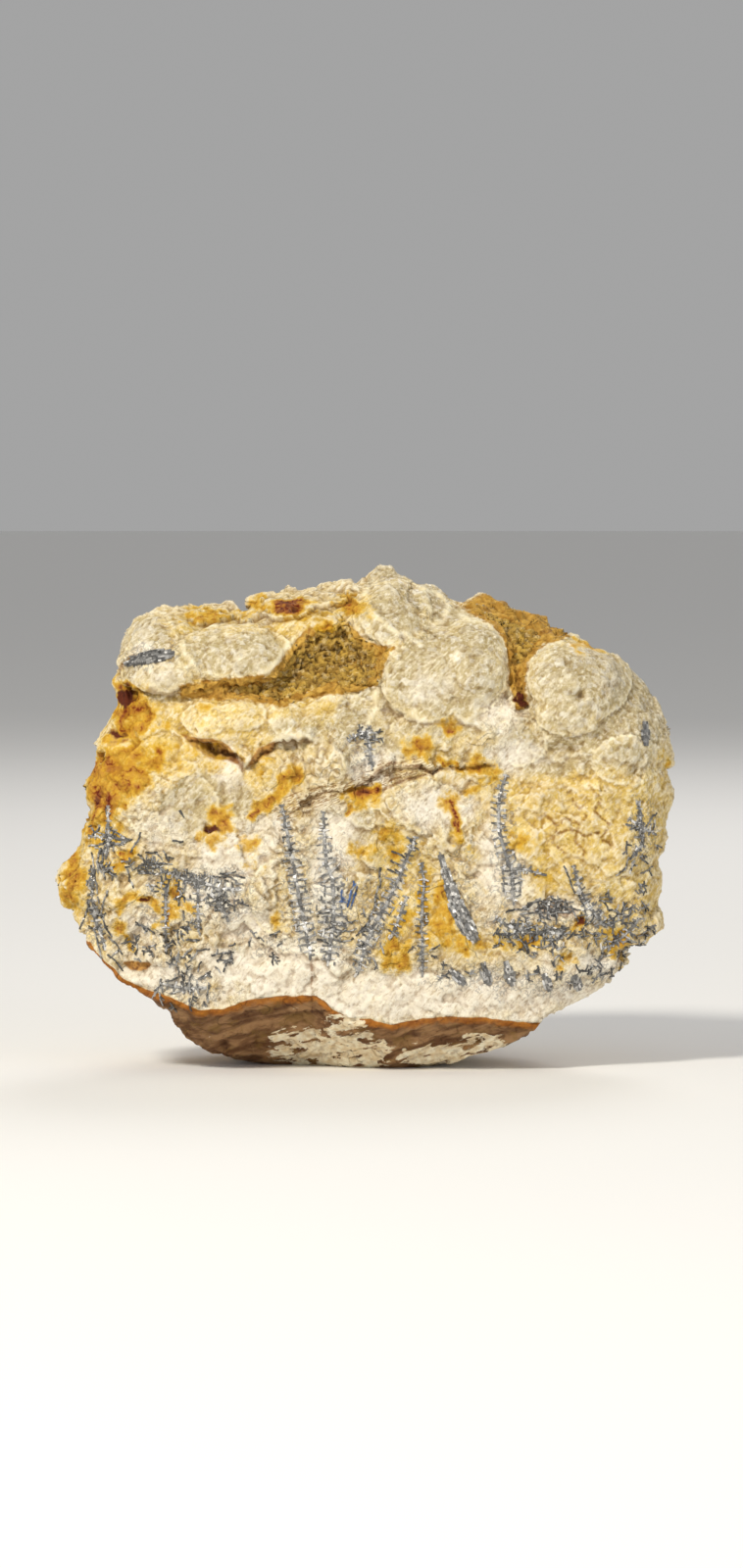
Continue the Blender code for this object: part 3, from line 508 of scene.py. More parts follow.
def bladeBars(arms, dice):
    # a solid blade: rows of bars side by side, each row as long as the blade is wide enough for it
    bars = []
    for x, z, width, angle in alongArm(arms[0], galena["barLength"]):
        rows = int(width / galena["bladeStep"])
        for row in range(-rows, rows + 1):
            bars.append((*ahead(x, z, angle + math.pi / 2, row * galena["bladeStep"]),
                         angle + dice.gauss(0, galena["bladeSway"]), galena["barLength"] * galena["overlap"],
                         galena["bladeWidth"]))
    return bars


def lineBars(line, dice):
    bars = []
    for (ax, az), (bx, bz) in zip(line, line[1:]):
        reach = math.hypot(bx - ax, bz - az) + galena["lineOverlap"]
        bars += stroke(ax, az, math.atan2(bz - az, bx - ax), reach, galena["lineWidth"], dice)
    return bars


def twigBars(spots, dice):
    # short curled strokes, mostly level or upright, each with a branch or two, over elliptical patches
    bars = []
    forkLength, forkWidth = galena["forkSize"]
    for cx, cz, rx, rz, perArea in spots:
        for twig in range(round(math.pi * rx * rz * perArea)):
            around, reach = dice.uniform(0, math.tau), math.sqrt(dice.random())
            x, z = cx + rx * reach * math.cos(around), cz + rz * reach * math.sin(around)
            angle = dice.choice((0, 0, math.pi / 2, -math.pi / 2, dice.uniform(0, math.tau)))
            angle += dice.gauss(0, galena["twigSway"])
            length = dice.uniform(*galena["twigLength"])
            bars += stroke(x, z, angle, length, galena["twigWidth"], dice, dice.gauss(0, galena["twigCurl"]))
            for branch in range(dice.randint(0, 2)):
                bars += stroke(*ahead(x, z, angle, dice.uniform(*galena["twigFork"]) * length),
                               angle + dice.choice((-1, 1)) * dice.uniform(*galena["twigSpread"]),
                               length * forkLength, galena["twigWidth"] * forkWidth, dice)
    return bars


def layBars(name, bars, dice, light):
    # each bar is a turned copy of a cube, bedded in the rock where a line from the front meets it
    corners, faces, colors = [], [], []
    count = 0
    lift = galena["lift"] * galena["thickness"]
    blueX, blueZ, blueReach = galena["blueSpot"]
    for x, z, angle, length, width in bars:
        start = Vector((x, galena["rayStart"], z)) * mm
        place, normal, index, away = rockTree.ray_cast(start, Vector((0, 1, 0)))
        if place is None or normal.y > galena["steepest"]:
            continue
        shape, shapeFaces = bevelledCube if width > galena["bevelFrom"] else plainCube
        along = Vector((math.cos(angle), 0, math.sin(angle)))
        along = (along - normal * along.dot(normal)).normalized()
        turn = np.array((along, normal.cross(along), normal)).T
        roll, pitch = [dice.gauss(0, spread) for spread in galena["tips"]]
        tip = np.array(Euler((roll, pitch, 0)).to_matrix())
        scale = np.array((length, width, galena["thickness"] * dice.uniform(*galena["thicknesses"])))
        corners.append((shape * scale) @ tip.T @ turn.T + np.array(place) / mm + np.array(normal) * lift)
        faces += [tuple(corner + count for corner in face) for face in shapeFaces]
        blueGlinting = math.hypot(x - blueX, z - blueZ) < blueReach and dice.random() < galena["blueShare"]
        # the rare light bars are painted glints, and bars in the blue spot take a painted blue glint
        level = light[0] + (light[1] - light[0]) * dice.random() ** galena["lightCurve"]
        colors.append(np.tile((level, dice.random(), galena["blueGlint"] * blueGlinting), (len(shape), 1)))
        count += len(shape)
    mesh = bpy.data.meshes.new(name)
    mesh.from_pydata((np.concatenate(corners) * mm).tolist(), [], faces)
    piece = bpy.data.objects.new(name, mesh)
    bpy.context.collection.objects.link(piece)
    storeColor(piece, "grain", *np.concatenate(colors).T)
    mesh.materials.append(leadGrey)
    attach(piece, "root")
    return piece


# the pale rock
rock = {
    # the skin's voxel and softening, and how fat and how far back the plugs of the crystals' pockets are
    "voxel": 0.5, "softenRounds": 2, "plugGrow": 0.62, "plugSink": 1,
    # share of triangles kept: those that go lie deep or face back, by these limits, bands and shares
    "keep": 0.5, "thinDepth": (-2, 6), "thinNormal": (-0.2, 0.6), "thinShares": (0.6, 0.4),
    # the height below which nothing moves, and the band over it
    "baseHeight": 0.25, "baseBand": 1.5,
    # limits and bands along y or across: the front by its normals and depth, the back's own relief, and
    # the undercut; then the brow's height over its line, and its soft edge
    "frontNormal": (0.35, 0.5), "frontDepth": (8, 14), "backDepth": (4, 10), "undercutDepth": (30, 20),
    "undercutSide": (60, 6), "browRise": 0.6, "browBand": 0.4,
    # how drawn outlines are roughened: height and size of each lump, seeds for x and z, and how much of it
    # most outlines, the ledges and the stains take
    "warp": [(0.9, 3.2), (0.45, 1.3)], "warpSeeds": (41, 43), "slightWarp": 0.35, "ledgeWarp": 1.3,
    "stainWarp": 1.5,
    # layers of relief, in millimetres
    "swell": {"field": layeredLumps, "height": 0.45, "size": 8, "seed": 1},
    "wideSheets": {"field": layeredLumps, "height": 0.8, "step": 0.34, "size": 5, "seed": 5},
    "smallSheets": {"field": layeredLumps, "height": 0.45, "step": 0.4, "size": 2.6, "seed": 6, "layers": 2},
    "grain": {"field": layeredLumps, "height": 0.05, "size": 1.3, "seed": 4, "layers": 2},
    "roughPatches": {"field": layeredLumps, "size": 9, "seed": 7, "layers": 2},
    "breaks": {"field": chips, "size": 5, "slope": 0.3, "seed": 11},
    "smallBreaks": {"field": chips, "size": 2.3, "slope": 0.12, "seed": 12},
    "backBreaks": {"field": chips, "size": 10, "slope": 0.22, "seed": 31},
    "backSheets": {"field": layeredLumps, "step": 0.5, "size": 10, "seed": 32},
    "hollowCrystals": {"field": chips, "size": 1.3, "slope": 0.42, "seed": 14, "crystals": True},
    "hollowLumps": {"field": lumps, "height": 0.5, "size": 2.4, "seed": 15},
    "undercutSheets": {"field": layeredLumps, "size": 2.2, "seed": 51, "stretch": (3.4, 3, 1)},
    "folds": {"field": lumps, "height": 0.45, "size": 1, "seed": 61, "stretch": (5, 5, 1)},
    "featherBed": {"field": lumps, "height": 0.15, "size": 0.8, "seed": 62},
    "rimGaps": {"field": lumps, "size": 2.8, "seed": 45},
    # lean of the undercut's sheets in degrees, how far they run in depth, and the edges of the patches
    "sheetLean": 22, "sheetDepth": 0.4, "roughShift": 0.05, "roughBand": 0.3, "gapShift": 0.15,
    "gapBand": 0.2,
    # how smooth the kinds of rock are, how much weaker a layer is in some zones, and how high it is on even
    # rock and how much more on rough
    "smooth": {"crystal": 1, "chalk": 1, "yellowCream": 0.8},
    "weaker": {
        "rough": {"crystal": 0.9, "chalk": 0.7, "yellowCream": 0.4},
        "breaks": {"undercut": 0.6, "crystal": 0.3}, "wideSheets": {"smooth": 0.85, "undercut": 0.8},
        "smallSheets": {"smooth": 0.7, "undercut": 0.8}, "smallBreaks": {"undercut": 1}},
    "onRough": {"breaks": (0.25, 0.65), "smallSheets": (0.1, 0.6)},
    # steps of the sheets in the flaked parts and in the rest of the undercut
    "flakeSheets": {"height": 0.9, "shift": 0.3, "step": 0.3}, "thinSheets": {"height": 0.35, "step": 0.4},
    # rims, crevices, and the rim in front of each crust
    "rimHeight": 0.25, "creviceDepth": 0.5, "crustRim": {"height": 1.5, "slope": 1, "inner": (4, 3)},
    # the bed under each galena feather: its teeth, how far it stays inside the feather, and its soft edge
    "featherTeeth": {"shift": 5, "notch": 0.5, "rise": 0.55}, "featherSetback": 0.35, "featherBand": 0.8,
    # half widths and soft edges
    "rimWidth": 0.36, "rimBand": 0.45, "lobeEdge": 0.34, "lobeEnd": 1.04, "lobeBand": 2.8, "wrinkleBand": 1.2,
    "flakeBand": 1.6, "crackBand": 0.5, "darkRedBand": 0.6,
    # a ledge's lip: how it fades at the ends, above, below and far below, and its lines of painted
    # highlight and painted shadow
    "lip": {
        "ends": 3, "fall": 3.5, "dip": 0.7, "foot": 1.4, "reach": 9, "fade": 6, "strength": 1.3,
        "offset": 0.35, "pale": 0.45, "shadow": 0.5},
    # sunken rock, for painted shade in hollows and highlight on rises: rounds of smoothing, and the depth
    # that counts as whole; how dark the lens is; and how far below the brow the burnt colour runs
    "sunk": [(3, 0.16), (16, 0.6)], "lensShade": 0.6, "browShade": 2.6,
    # how soft the edges of the painted kinds of rock are
    "spotBands": {"crystal": 2.2, "chalk": 3, "yellowCream": 4.5, "dust": 2.4},
    "loopBands": {"crustLoops": 0.9, "crevices": 0.5, "lens": 0.5},
    # stains: strength, softness of the spots and of the strokes
    "stainBands": {"gold": (0.44, 1.6, 1.2), "ochre": (0.58, 1.8, 1.2), "rust": (0.92, 1.2, 0.8)},
    # patches on the back: size, seed and how rare, their soft edge, and the strength of the stain
    "backPatches": {
        "crystal": (16, 71, 0.05), "chalk": (14, 72, 0.25), "yellowCream": (19, 73, 0),
        "stain": (17, 74, 0.35)},
    "patchBand": 0.25, "backStain": 0.8,
    # outlines seen from the front
    "crustLoops": [
        [(-11.4, 90), (-3.4, 91.2), (-0.8, 88.4), (2.4, 86.6), (6, 86.4), (3.9, 82.6), (2.7, 78),
         (-4.8, 76.9), (-12.2, 76), (-17, 74), (-20, 75), (-26.4, 75.6), (-37.4, 76), (-37.8, 78.4),
         (-27.2, 80), (-20.4, 80.4), (-17, 83.4), (-14.8, 86.6)],
        [(19, 94.6), (24.7, 97), (28.1, 96), (30, 94), (34.3, 93.5), (38, 93.4), (39.9, 90.8), (42.4, 88.4),
         (39.9, 87.4), (36.9, 86.8), (34.7, 85.2), (33.2, 82.6), (32.6, 79), (33.2, 74.6), (30.8, 73.2),
         (29.4, 78.6), (29.4, 82), (29, 85.6), (27.9, 88.2), (26.4, 90.2), (23.4, 92)]],
    "crevices": [
        [(-37.4, 68.6), (-34, 67.8), (-30.6, 68), (-27.4, 66.6), (-25.4, 62.2), (-27.6, 63.2), (-31.6, 64.2),
         (-34.6, 65.6)],
        [(-18.2, 67.4), (-18.8, 65.4), (-21.2, 63.6), (-23.6, 61.8), (-23.2, 63.8), (-21.6, 66)],
        [(-49.4, 78.4), (-46.6, 79), (-45.8, 75.6), (-47.4, 72.2), (-49.8, 71.2), (-48.8, 74.4)],
        [(-52, 69.6), (-47, 70.2), (-48.2, 67.4), (-51.2, 66), (-52.6, 66.4)],
        [(-49.2, 22.8), (-42.6, 22.8), (-44.2, 21), (-47.2, 20.8)]],
    "lens": [[(33, 33), (36, 35.2), (40, 35.2), (43, 32.6), (43.6, 30.2), (41.8, 31), (37.6, 31.4)]],
    "wrinkles": [
        [(-21.5, 52), (-14, 57.5), (-5, 59.5), (3, 62.5), (12, 64), (20, 63), (14, 60.5), (4, 58.5),
         (-2, 56), (-9, 53.5), (-15, 51.5)]],
    # the line above the undercut
    "brow": [
        (-56, 26.4), (-53, 22.6), (-49.5, 19), (-44.5, 16), (-38.4, 14.6), (-33.6, 12.2), (-29, 12.6),
        (-22.6, 14.8), (-15.4, 15.2), (-9.8, 15.4), (-7, 13), (-3, 10.8), (1.2, 10.6), (6, 9.4), (11.8, 10.8),
        (17.2, 11.2), (24.8, 10.8), (30, 10), (33.4, 9.6), (40, 9)],
    # smooth shell-like lobes that stand proud with a pale edge: middle x and z, half width, half height, rise
    "lobes": [
        (-26.7, 85, 12.2, 5.8, 1), (6.2, 93.2, 7.4, 6.8, 0.9), (16, 80.6, 13, 9.8, 1.2),
        (22.4, 87, 6.6, 5.6, 0.7), (43.8, 79.8, 10.8, 8.6, 1.2), (41.2, 72.6, 6.6, 4.2, 0.7),
        (-32.3, 71.8, 5.1, 3.4, 0.8), (-24.6, 72.7, 4.7, 3.2, 0.7), (-16, 71.8, 3.8, 3.4, 0.6),
        (-4.9, 69.6, 9.4, 7.2, 0.8), (11.3, 69.2, 6.8, 3.8, 0.5), (-43.4, 87.6, 5.6, 5.6, 0.7),
        (-40.8, 79.9, 6, 3.2, 0.7), (-38.8, 54, 9.6, 7.4, 0.7), (53.2, 63.3, 7.6, 5, 0.6),
        (-18.6, 35.9, 4.7, 7.4, 0.6), (13, 53, 7.6, 6.2, 0.5), (31, 67, 6, 5, 0.5), (-9, 62, 5, 3.4, 0.4)],
    # ledges: a lip that runs left to right with a hollow under it, and the lip's depth
    "ledges": [
        ([(-14.5, 53.8), (-8.4, 56.4), (-3.2, 58.1), (1.9, 60.7), (6.2, 61.6), (13, 61.8), (19.9, 62.4),
         (27.5, 63.4)], 0.6),
        ([(-37.4, 66.7), (-32.3, 67.3), (-26.3, 64.3), (-24.6, 61.8), (-22, 64.1), (-18.6, 67.3),
         (-13.5, 68.2), (-8.4, 67.5)], 0.9),
        ([(-51, 80.4), (-46, 77.6), (-38.3, 77.8), (-34.8, 78.6)], 0.8),
        ([(-36.6, 91.7), (-28.9, 90.8), (-22, 92), (-15.2, 91.7), (-8.4, 93.8), (-1.5, 97)], 0.7),
        ([(-52, 47), (-46, 44.6), (-40, 45.4), (-34, 43.8), (-28, 44.4)], 0.2),
        ([(-30, 27.8), (-25, 30.6), (-18.6, 24.8), (-11.8, 23.8), (-6, 21.4), (-1.5, 20.4)], 0.35),
        ([(31.9, 65), (36, 63.4), (43.8, 64.2), (53.2, 62.6), (61, 63.4)], 0.2),
        ([(-5, 51), (1, 48.8), (8, 50.4), (14, 48)], 0.35),
        ([(30, 44), (36, 41), (42, 43.4), (49, 40.6), (55, 42)], 0.2),
        ([(4, 76.6), (8, 73), (13.5, 71.2), (19, 71.8), (25, 69.4)], 0.4)],
    # pale rims along the broken edges of the lobes
    "rims": [
        [(19.7, 92.4), (23.5, 91.8), (26.5, 90), (27.9, 88), (28.9, 85.6), (29.3, 82), (28.5, 78.6),
         (30.3, 74.8)],
        [(39.9, 87.2), (36.7, 86.6), (34.5, 85), (33.1, 82.4), (32.5, 79), (32.7, 75.6)],
        [(-37.1, 88.4), (-36.5, 84.8), (-33.9, 81.8), (-29.3, 80), (-22.1, 80), (-17.7, 83.4), (-14.5, 88)],
        [(2.3, 100), (-0.1, 96.8), (1.1, 93.6), (5.1, 90), (11.1, 86.8)],
        [(5.8, 86), (3.6, 82.6), (2.4, 78), (2.1, 74), (0.5, 70.4)],
        [(11.5, 98), (14.9, 96.8), (17.5, 94), (15.3, 91.2), (11.9, 90)],
        [(49.5, 34), (50.8, 31.6), (52.2, 28.8)]],
    # cracks: the line, its half width and its depth
    "cracks": [
        ([(-2.1, 58), (1.1, 60), (3.1, 61.8), (5.5, 62.8), (9.7, 62.4), (13.5, 60.8),
         (15.9, 61.8)], 0.3, 0.35),
        ([(2.5, 57.4), (7.7, 59.2), (13.5, 60.6)], 0.25, 0.4),
        ([(-11.3, 89.4), (-11.8, 86), (-12.6, 84.9)], 0.35, 0.5),
        ([(-11.1, 23.6), (-10.5, 18), (-10.7, 12)], 0.2, 0.1),
        ([(45.5, 58), (47.9, 55.6), (46.3, 52.8), (49.5, 50.4), (47.9, 47.6), (50.7, 45.6)], 0.2, 0.3),
        ([(37.5, 48), (41.5, 49.6), (44.7, 48), (47.5, 48.8)], 0.2, 0.3),
        ([(36.5, 52.6), (39, 50.2), (40.6, 51.6), (43.4, 50.6), (45, 52.4)], 0.22, 0.15),
        ([(39, 50.2), (38, 47), (40.4, 44.6)], 0.22, 0.15),
        ([(41.8, 55.4), (43.4, 53.6), (45, 54.6)], 0.22, 0.15),
        ([(43.4, 50.6), (42.2, 47.4), (44.6, 45), (43.8, 42.6)], 0.22, 0.15),
        ([(-24.6, 61.2), (-26.4, 64), (-29.6, 66.2)], 0.35, 0.5),
        ([(-44, 84.4), (-47.9, 84), (-50.1, 81.6)], 0.3, 0.4)],
    # pits: middle x and z, half width, depth
    "pits": [
        (43.7, 76.4, 0.9, 1.8), (-28.3, 4.6, 1.4, 1.5), (32.2, 75.6, 1.2, 1.4), (-32.2, 49.4, 1, 1),
        (43.1, 31, 0.9, 1), (-8.1, 80.4, 1.6, 1), (-14, 79.6, 1.8, 0.9), (-44.2, 35.6, 0.9, 0.7)],
    # kinds of rock and stains as spots: middle x and z, half width, half height, and strength if not whole
    "flakes": [(-6.5, 3.4, 13.5, 5.6), (15.5, 2.8, 11, 3), (-3, 10, 5, 3), (25, 5, 7, 2.6)],
    "crystal": [
        (14.9, 78, 12.4, 10.4), (22.6, 84, 7.4, 9.2), (49.5, 75, 11, 14), (42.5, 77.5, 10, 10.8),
        (4.5, 71, 12, 8), (-21.5, 84.4, 8, 4.4), (-30, 85.2, 8, 5, 0.8), (-42.5, 80, 6, 4.4),
        (37.5, 66, 12, 6), (18.5, 90, 7, 4.4), (5.5, 92, 6, 4.8), (-44.5, 88, 5, 4), (-31.5, 54, 9, 7),
        (-14.5, 69, 6, 3), (0.5, 64, 4, 4), (-4, 50, 6, 4), (54, 70, 7, 9), (5, 99, 4, 4), (13, 96, 5, 3)],
    "chalk": [
        (7.5, 16, 40, 5.2), (-14.5, 21, 12, 6.8), (37.5, 16, 12, 3.2), (-41.5, 19, 10, 4), (37.5, 33, 8, 2),
        (-5.5, 48, 3.6, 6), (-8.5, 42, 2.8, 12), (-24.5, 22, 10, 4), (-36, 36, 9, 6, 0.7),
        (-46, 28, 6, 7, 0.6), (-41.5, 80.6, 5, 2.6, 0.5), (-27, 44, 9, 7, 0.8), (-19, 49, 5, 6, 0.7),
        (21.5, 10, 24, 2.8), (-4.5, 11, 10, 2.4), (25.5, 42, 3.2, 10), (45.5, 21, 12, 2.8), (15.5, 54, 8, 4),
        (-45, 85, 4, 5, 0.6), (-27, 63, 3, 4), (27.5, 72, 4.5, 4, 0.8), (13.5, 78, 5, 5, 0.55),
        (44.5, 86, 3, 2, 0.5), (50, 79, 3, 3, 0.5), (-25, 30, 7, 5.4, 0.8), (-28, 36, 6, 4, 0.6),
        (30, 38, 4, 6, 0.7), (-42, 49, 7, 5, 0.6), (1.5, 62.5, 4, 3), (30, 64, 5, 3)],
    "yellowCream": [
        (45.5, 52, 18, 14), (-26.5, 71, 14, 8), (-38, 68, 13, 9), (-29, 60, 9, 5), (-40, 78, 9, 3),
        (-34, 86, 6, 5, 0.6), (14, 63, 9, 4, 0.7), (-48.5, 66, 8, 8), (9.5, 70, 8, 4), (33.5, 46, 12, 18),
        (-8.5, 74, 12, 4.8), (53.5, 34, 8, 10), (-14.5, 88, 6, 6), (-30.5, 90, 10, 2.4), (7.5, 38, 6, 12),
        (-56.5, 32, 4, 8), (-50.5, 46, 8, 4)],
    "goldSpots": [
        (-4.1, 53, 2, 1.2), (-31, 64.5, 7, 3.6, 0.75), (-38.5, 63, 5, 5, 0.6), (-20, 62, 4, 4, 0.7),
        (-33, 74.4, 5, 2, 0.8), (-43.6, 70, 5, 5, 0.6), (22.9, 62.6, 3.6, 2.4, 1.2),
        (12.1, 35, 2.6, 8.8, 1.1), (16.2, 33, 3.2, 8.8, 1.1), (20.5, 27, 3, 2.6, 1.1), (25.5, 26, 5, 1.8),
        (5.5, 24, 3.4, 4.6), (39.9, 20.8, 1.4, 1.2), (-50.5, 49, 3.2, 3.2), (53.5, 21, 2.2, 1.8),
        (5.5, 46, 4, 5, 0.9), (-12, 92, 6, 2, 0.9), (-47, 62, 4, 5, 0.9), (-30, 50, 4, 4.6, 0.9),
        (31, 47, 4, 3, 0.8), (36, 40, 4, 2.4, 0.8), (-22, 43, 2, 4, 0.8), (8, 30, 3, 4, 0.9)],
    "goldStrokes": [([(-2.5, 46), (1.1, 44.6), (4.7, 46.4), (6.5, 50)], 1.4)],
    "ochreSpots": [
        (-30.5, 92.4, 6.4, 1.8), (-52.6, 58.5, 5, 9.5, 1.05), (-49.1, 64, 5, 3.6),
        (-59.3, 40, 3.2, 8.5, 1.05), (-55.6, 50, 2.4, 5, 1), (-29.3, 50.8, 2.8, 3.4, 1.1),
        (-23.7, 46.4, 1.9, 1.8), (-17.7, 31.8, 1.1, 2), (10.9, 66.4, 2.8, 3, 1.2), (18.9, 47.6, 1.6, 2),
        (21.1, 44.6, 1, 1.2), (33.5, 27, 3, 2.2), (40.9, 23.4, 1.8, 2, 1.1), (51.3, 27, 2.8, 3.2, 1.1),
        (-38.9, 35.6, 1.8, 4.6, 1.1), (-36.5, 33.8, 2.4, 1.2), (61.5, 63.2, 1.2, 1.4, 1.2),
        (-22.5, 95.4, 2, 1.8), (45.5, 86.6, 4.6, 1.4), (-7.5, 90, 3.4, 2), (-3.1, 94.4, 4.4, 2.6),
        (16.7, 70.4, 2.4, 1.6, 1.1), (-47, 72.5, 4.6, 6, 1.05), (-44.5, 65, 5.4, 4, 0.9), (-48, 59, 5, 5),
        (26, 61.4, 2, 1), (17.4, 55, 2, 2.4), (-1, 55.6, 3, 2.2), (12.8, 63.4, 2.4, 1)],
    "ochreStrokes": [
        ([(-14.5, 61), (-17.3, 57.6), (-21.5, 52.8)], 1.8), ([(26.5, 62), (23.9, 59.2), (20.9, 56.6)], 0.8),
        ([(-46.1, 37), (-49.5, 34.4), (-50.1, 30), (-47.7, 26.4)], 1),
        ([(-44.5, 36.8), (-41.7, 33.2), (-42.9, 28.8)], 0.8),
        ([(-52.1, 40.8), (-49.7, 42), (-47.1, 44.2)], 1.2),
        ([(-33.5, 47.6), (-30.1, 50.4), (-27.9, 54.4)], 1)],
    "rustSpots": [
        (-15.9, 94.6, 4.4, 1.8), (-49, 78.6, 2.6, 1, 0.9), (-48.4, 73, 2, 1.6, 0.9),
        (-53.3, 55.6, 2.4, 3.2, 0.85), (16.7, 70.4, 1.8, 1), (-1.3, 56.8, 3, 1.8), (-44.5, 35.6, 1.4, 0.8),
        (-21.3, 52.8, 1, 1), (5.9, 22.8, 1.2, 1.6, 0.8), (43.1, 30.6, 0.8, 1.6), (-3.9, 53.6, 0.8, 1.2),
        (-49.5, 44.4, 1.2, 0.8), (53.5, 28, 1, 1.6), (-40.3, 33, 0.6, 1.8)],
    "rustStrokes": [
        ([(15.7, 63.8), (17.3, 62.8), (19.1, 61.4)], 0.4), ([(16.7, 55.6), (18.3, 53.2), (18.7, 49.4)], 0.8),
        ([(1.7, 58.6), (0.3, 56.4), (-2.5, 55.6)], 0.6)],
    "darkRed": [
        (-48.8, 76.2, 1.3, 2.4), (-50.8, 69.2, 2.2, 0.8), (-32, 49.4, 1.6, 0.7), (-44.4, 35.5, 1.2, 0.7),
        (43.2, 31, 0.7, 1.2), (32.2, 75.8, 1, 1.7)],
    "dust": [
        (-14.5, 37, 3.2, 12), (-6.5, 35, 4.4, 12), (-28.5, 36.4, 6.8, 6), (-40.5, 34, 4.8, 10),
        (-55.5, 32, 2, 8.8), (-52.1, 45.6, 4, 6), (2.5, 32, 5.2, 10), (11.5, 32, 2.4, 12),
        (19.5, 35, 3.2, 10), (28.5, 42, 3.2, 12), (34.5, 29, 10, 3.6), (46.5, 31, 4, 6), (54.5, 31, 4.8, 4),
        (-36.5, 16.4, 6.8, 3.6), (49.5, 21, 5.2, 3.2), (56.7, 49, 3.2, 7.2), (-0.5, 65.6, 2.8, 4.8),
        (-43.5, 84.4, 6.4, 2.8), (33.5, 18, 12, 2.8), (-18.5, 26, 6, 2.4), (21.5, 20, 8, 2.8)],
    # patches of small curled galena strokes: middle x and z, half width, half height, strokes a square mm
    "twigs": [
        (-42.1, 41.2, 3.8, 4.4, 0.42), (-35.9, 38.6, 2, 4, 0.5), (-28.9, 36.8, 5, 4.4, 0.26),
        (-36.5, 16.6, 6.2, 3.2, 0.3), (-35.5, 22.4, 4.4, 3, 0.32), (-46.6, 25, 4.6, 2.2, 0.28),
        (-28.7, 23.6, 2.4, 2.8, 0.45), (-55, 34, 1.8, 7, 0.26), (-37, 29.5, 2.4, 5, 0.36),
        (-52, 44, 4.2, 5.4, 0.26), (-43, 27, 3, 4, 0.1), (37.6, 33.5, 4.6, 1.3, 1.3), (-6, 29, 3, 6, 0.06),
        (1.8, 29, 4, 6, 0.08), (11.6, 24, 2, 4, 0.12), (34.5, 28.6, 8.4, 3, 0.52), (36, 24.6, 5.6, 2.6, 0.34),
        (47, 31, 4, 6, 0.32), (54, 29, 4.6, 4.6, 0.42), (49.5, 20.6, 5.6, 3, 0.4), (34.5, 20, 10, 2.2, 0.14),
        (21, 20.6, 6, 2.2, 0.12), (56, 47, 3, 7, 0.12), (-45, 84.4, 4, 1.4, 0.25), (0.4, 68.6, 1.4, 1.6, 1.6),
        (54.6, 38, 3, 5, 0.18), (-19.5, 26.2, 4, 2.4, 0.22)],
}


def closePockets(piece):
    # fattened copies of the crystals fill the pockets they came from
    plugs = []
    for node in nodes:
        if node.startswith("galena"):
            plug = mergedCopy(node, "plug")
            fatten = plug.modifiers.new("fatten", "DISPLACE")
            fatten.mid_level = 0
            fatten.strength = rock["plugGrow"] * mm
            applyModifiers(plug)
            movePoints(plug, pointsOf(plug) + (0, rock["plugSink"], 0))
            plugs.append(plug)
    pick(piece)
    for plug in plugs:
        plug.select_set(True)
    bpy.ops.object.join()


def thinBehind(piece):
    # fewer triangles behind the front, where the relief is coarser
    points, normals = pointsOf(piece), normalsOf(piece)
    deep, turned = above(points[:, 1], *rock["thinDepth"]), above(normals[:, 1], *rock["thinNormal"])
    behind = deep * rock["thinShares"][0] + turned * rock["thinShares"][1]
    levels = 10
    group = piece.vertex_groups.new(name="behind")
    for level in range(1, levels + 1):
        chosen = np.flatnonzero(np.round(behind * levels) == level)
        if len(chosen):
            group.add(chosen.tolist(), level / levels, "REPLACE")
    thin = piece.modifiers.new("thinBehind", "DECIMATE")
    thin.vertex_group = "behind"
    thin.ratio = rock["keep"]
    applyModifiers(piece)
    points = pointsOf(piece)
    points[:, 2] = np.maximum(points[:, 2], 0)
    movePoints(piece, points)
    piece.vertex_groups.clear()


def warped(points, amount=1.0):
    # x and z shifted a little by lumps of two sizes, which roughens every drawn outline
    shiftX, shiftZ = [
        sum(height * lumps(points, size, seed + k) for k, (height, size) in enumerate(rock["warp"]))
        for seed in rock["warpSeeds"]]
    return points[:, 0] + amount * shiftX, points[:, 2] + amount * shiftZ


def featherInset(x, z):
    # how far inside the nearest galena feather's toothed outline, negative outside it
    teeth = rock["featherTeeth"]
    best = np.full(len(x), -9.0)
    for arm in itertools.chain(*feathers.values()):
        for (ax, az, aw), (bx, bz, bw) in zip(arm, arm[1:]):
            share, away = nearestOn(x, z, (ax, az), (bx, bz))
            along = share * math.hypot(bx - ax, bz - az) / galena["branchPitch"] + teeth["shift"] * (az + ax)
            tooth = teeth["notch"] + teeth["rise"] * np.abs((along % 1.0) * 2 - 1)
            best = np.maximum(best, (aw + (bw - aw) * share) * tooth - away)
    return best


def ledgeField(x, z):
    # the ledges' rise, the painted highlight along each lip and the painted shadow under it
    lip = rock["lip"]
    rise, lips, shadows = np.zeros((3, len(x)))
    for line, depth in rock["ledges"]:
        lineX, lineZ = zip(*line)
        over = z - np.interp(x, lineX, lineZ)
        ends = above(x, lineX[0], lip["ends"]) * below(x, lineX[-1], lip["ends"])
        crest = np.where(over > 0, np.exp(-over / lip["fall"]), -lip["dip"] * np.exp(over / lip["foot"]))
        rise += depth * ends * crest * ease((over + lip["reach"]) / lip["fade"])
        strength = ends * min(1.0, lip["strength"] * depth)
        lips = np.maximum(lips, strength * np.exp(-((over - lip["offset"]) / lip["pale"]) ** 2))
        shadows = np.maximum(shadows, strength * np.exp(-((over + lip["offset"]) / lip["shadow"]) ** 2))
    return rise, lips, shadows


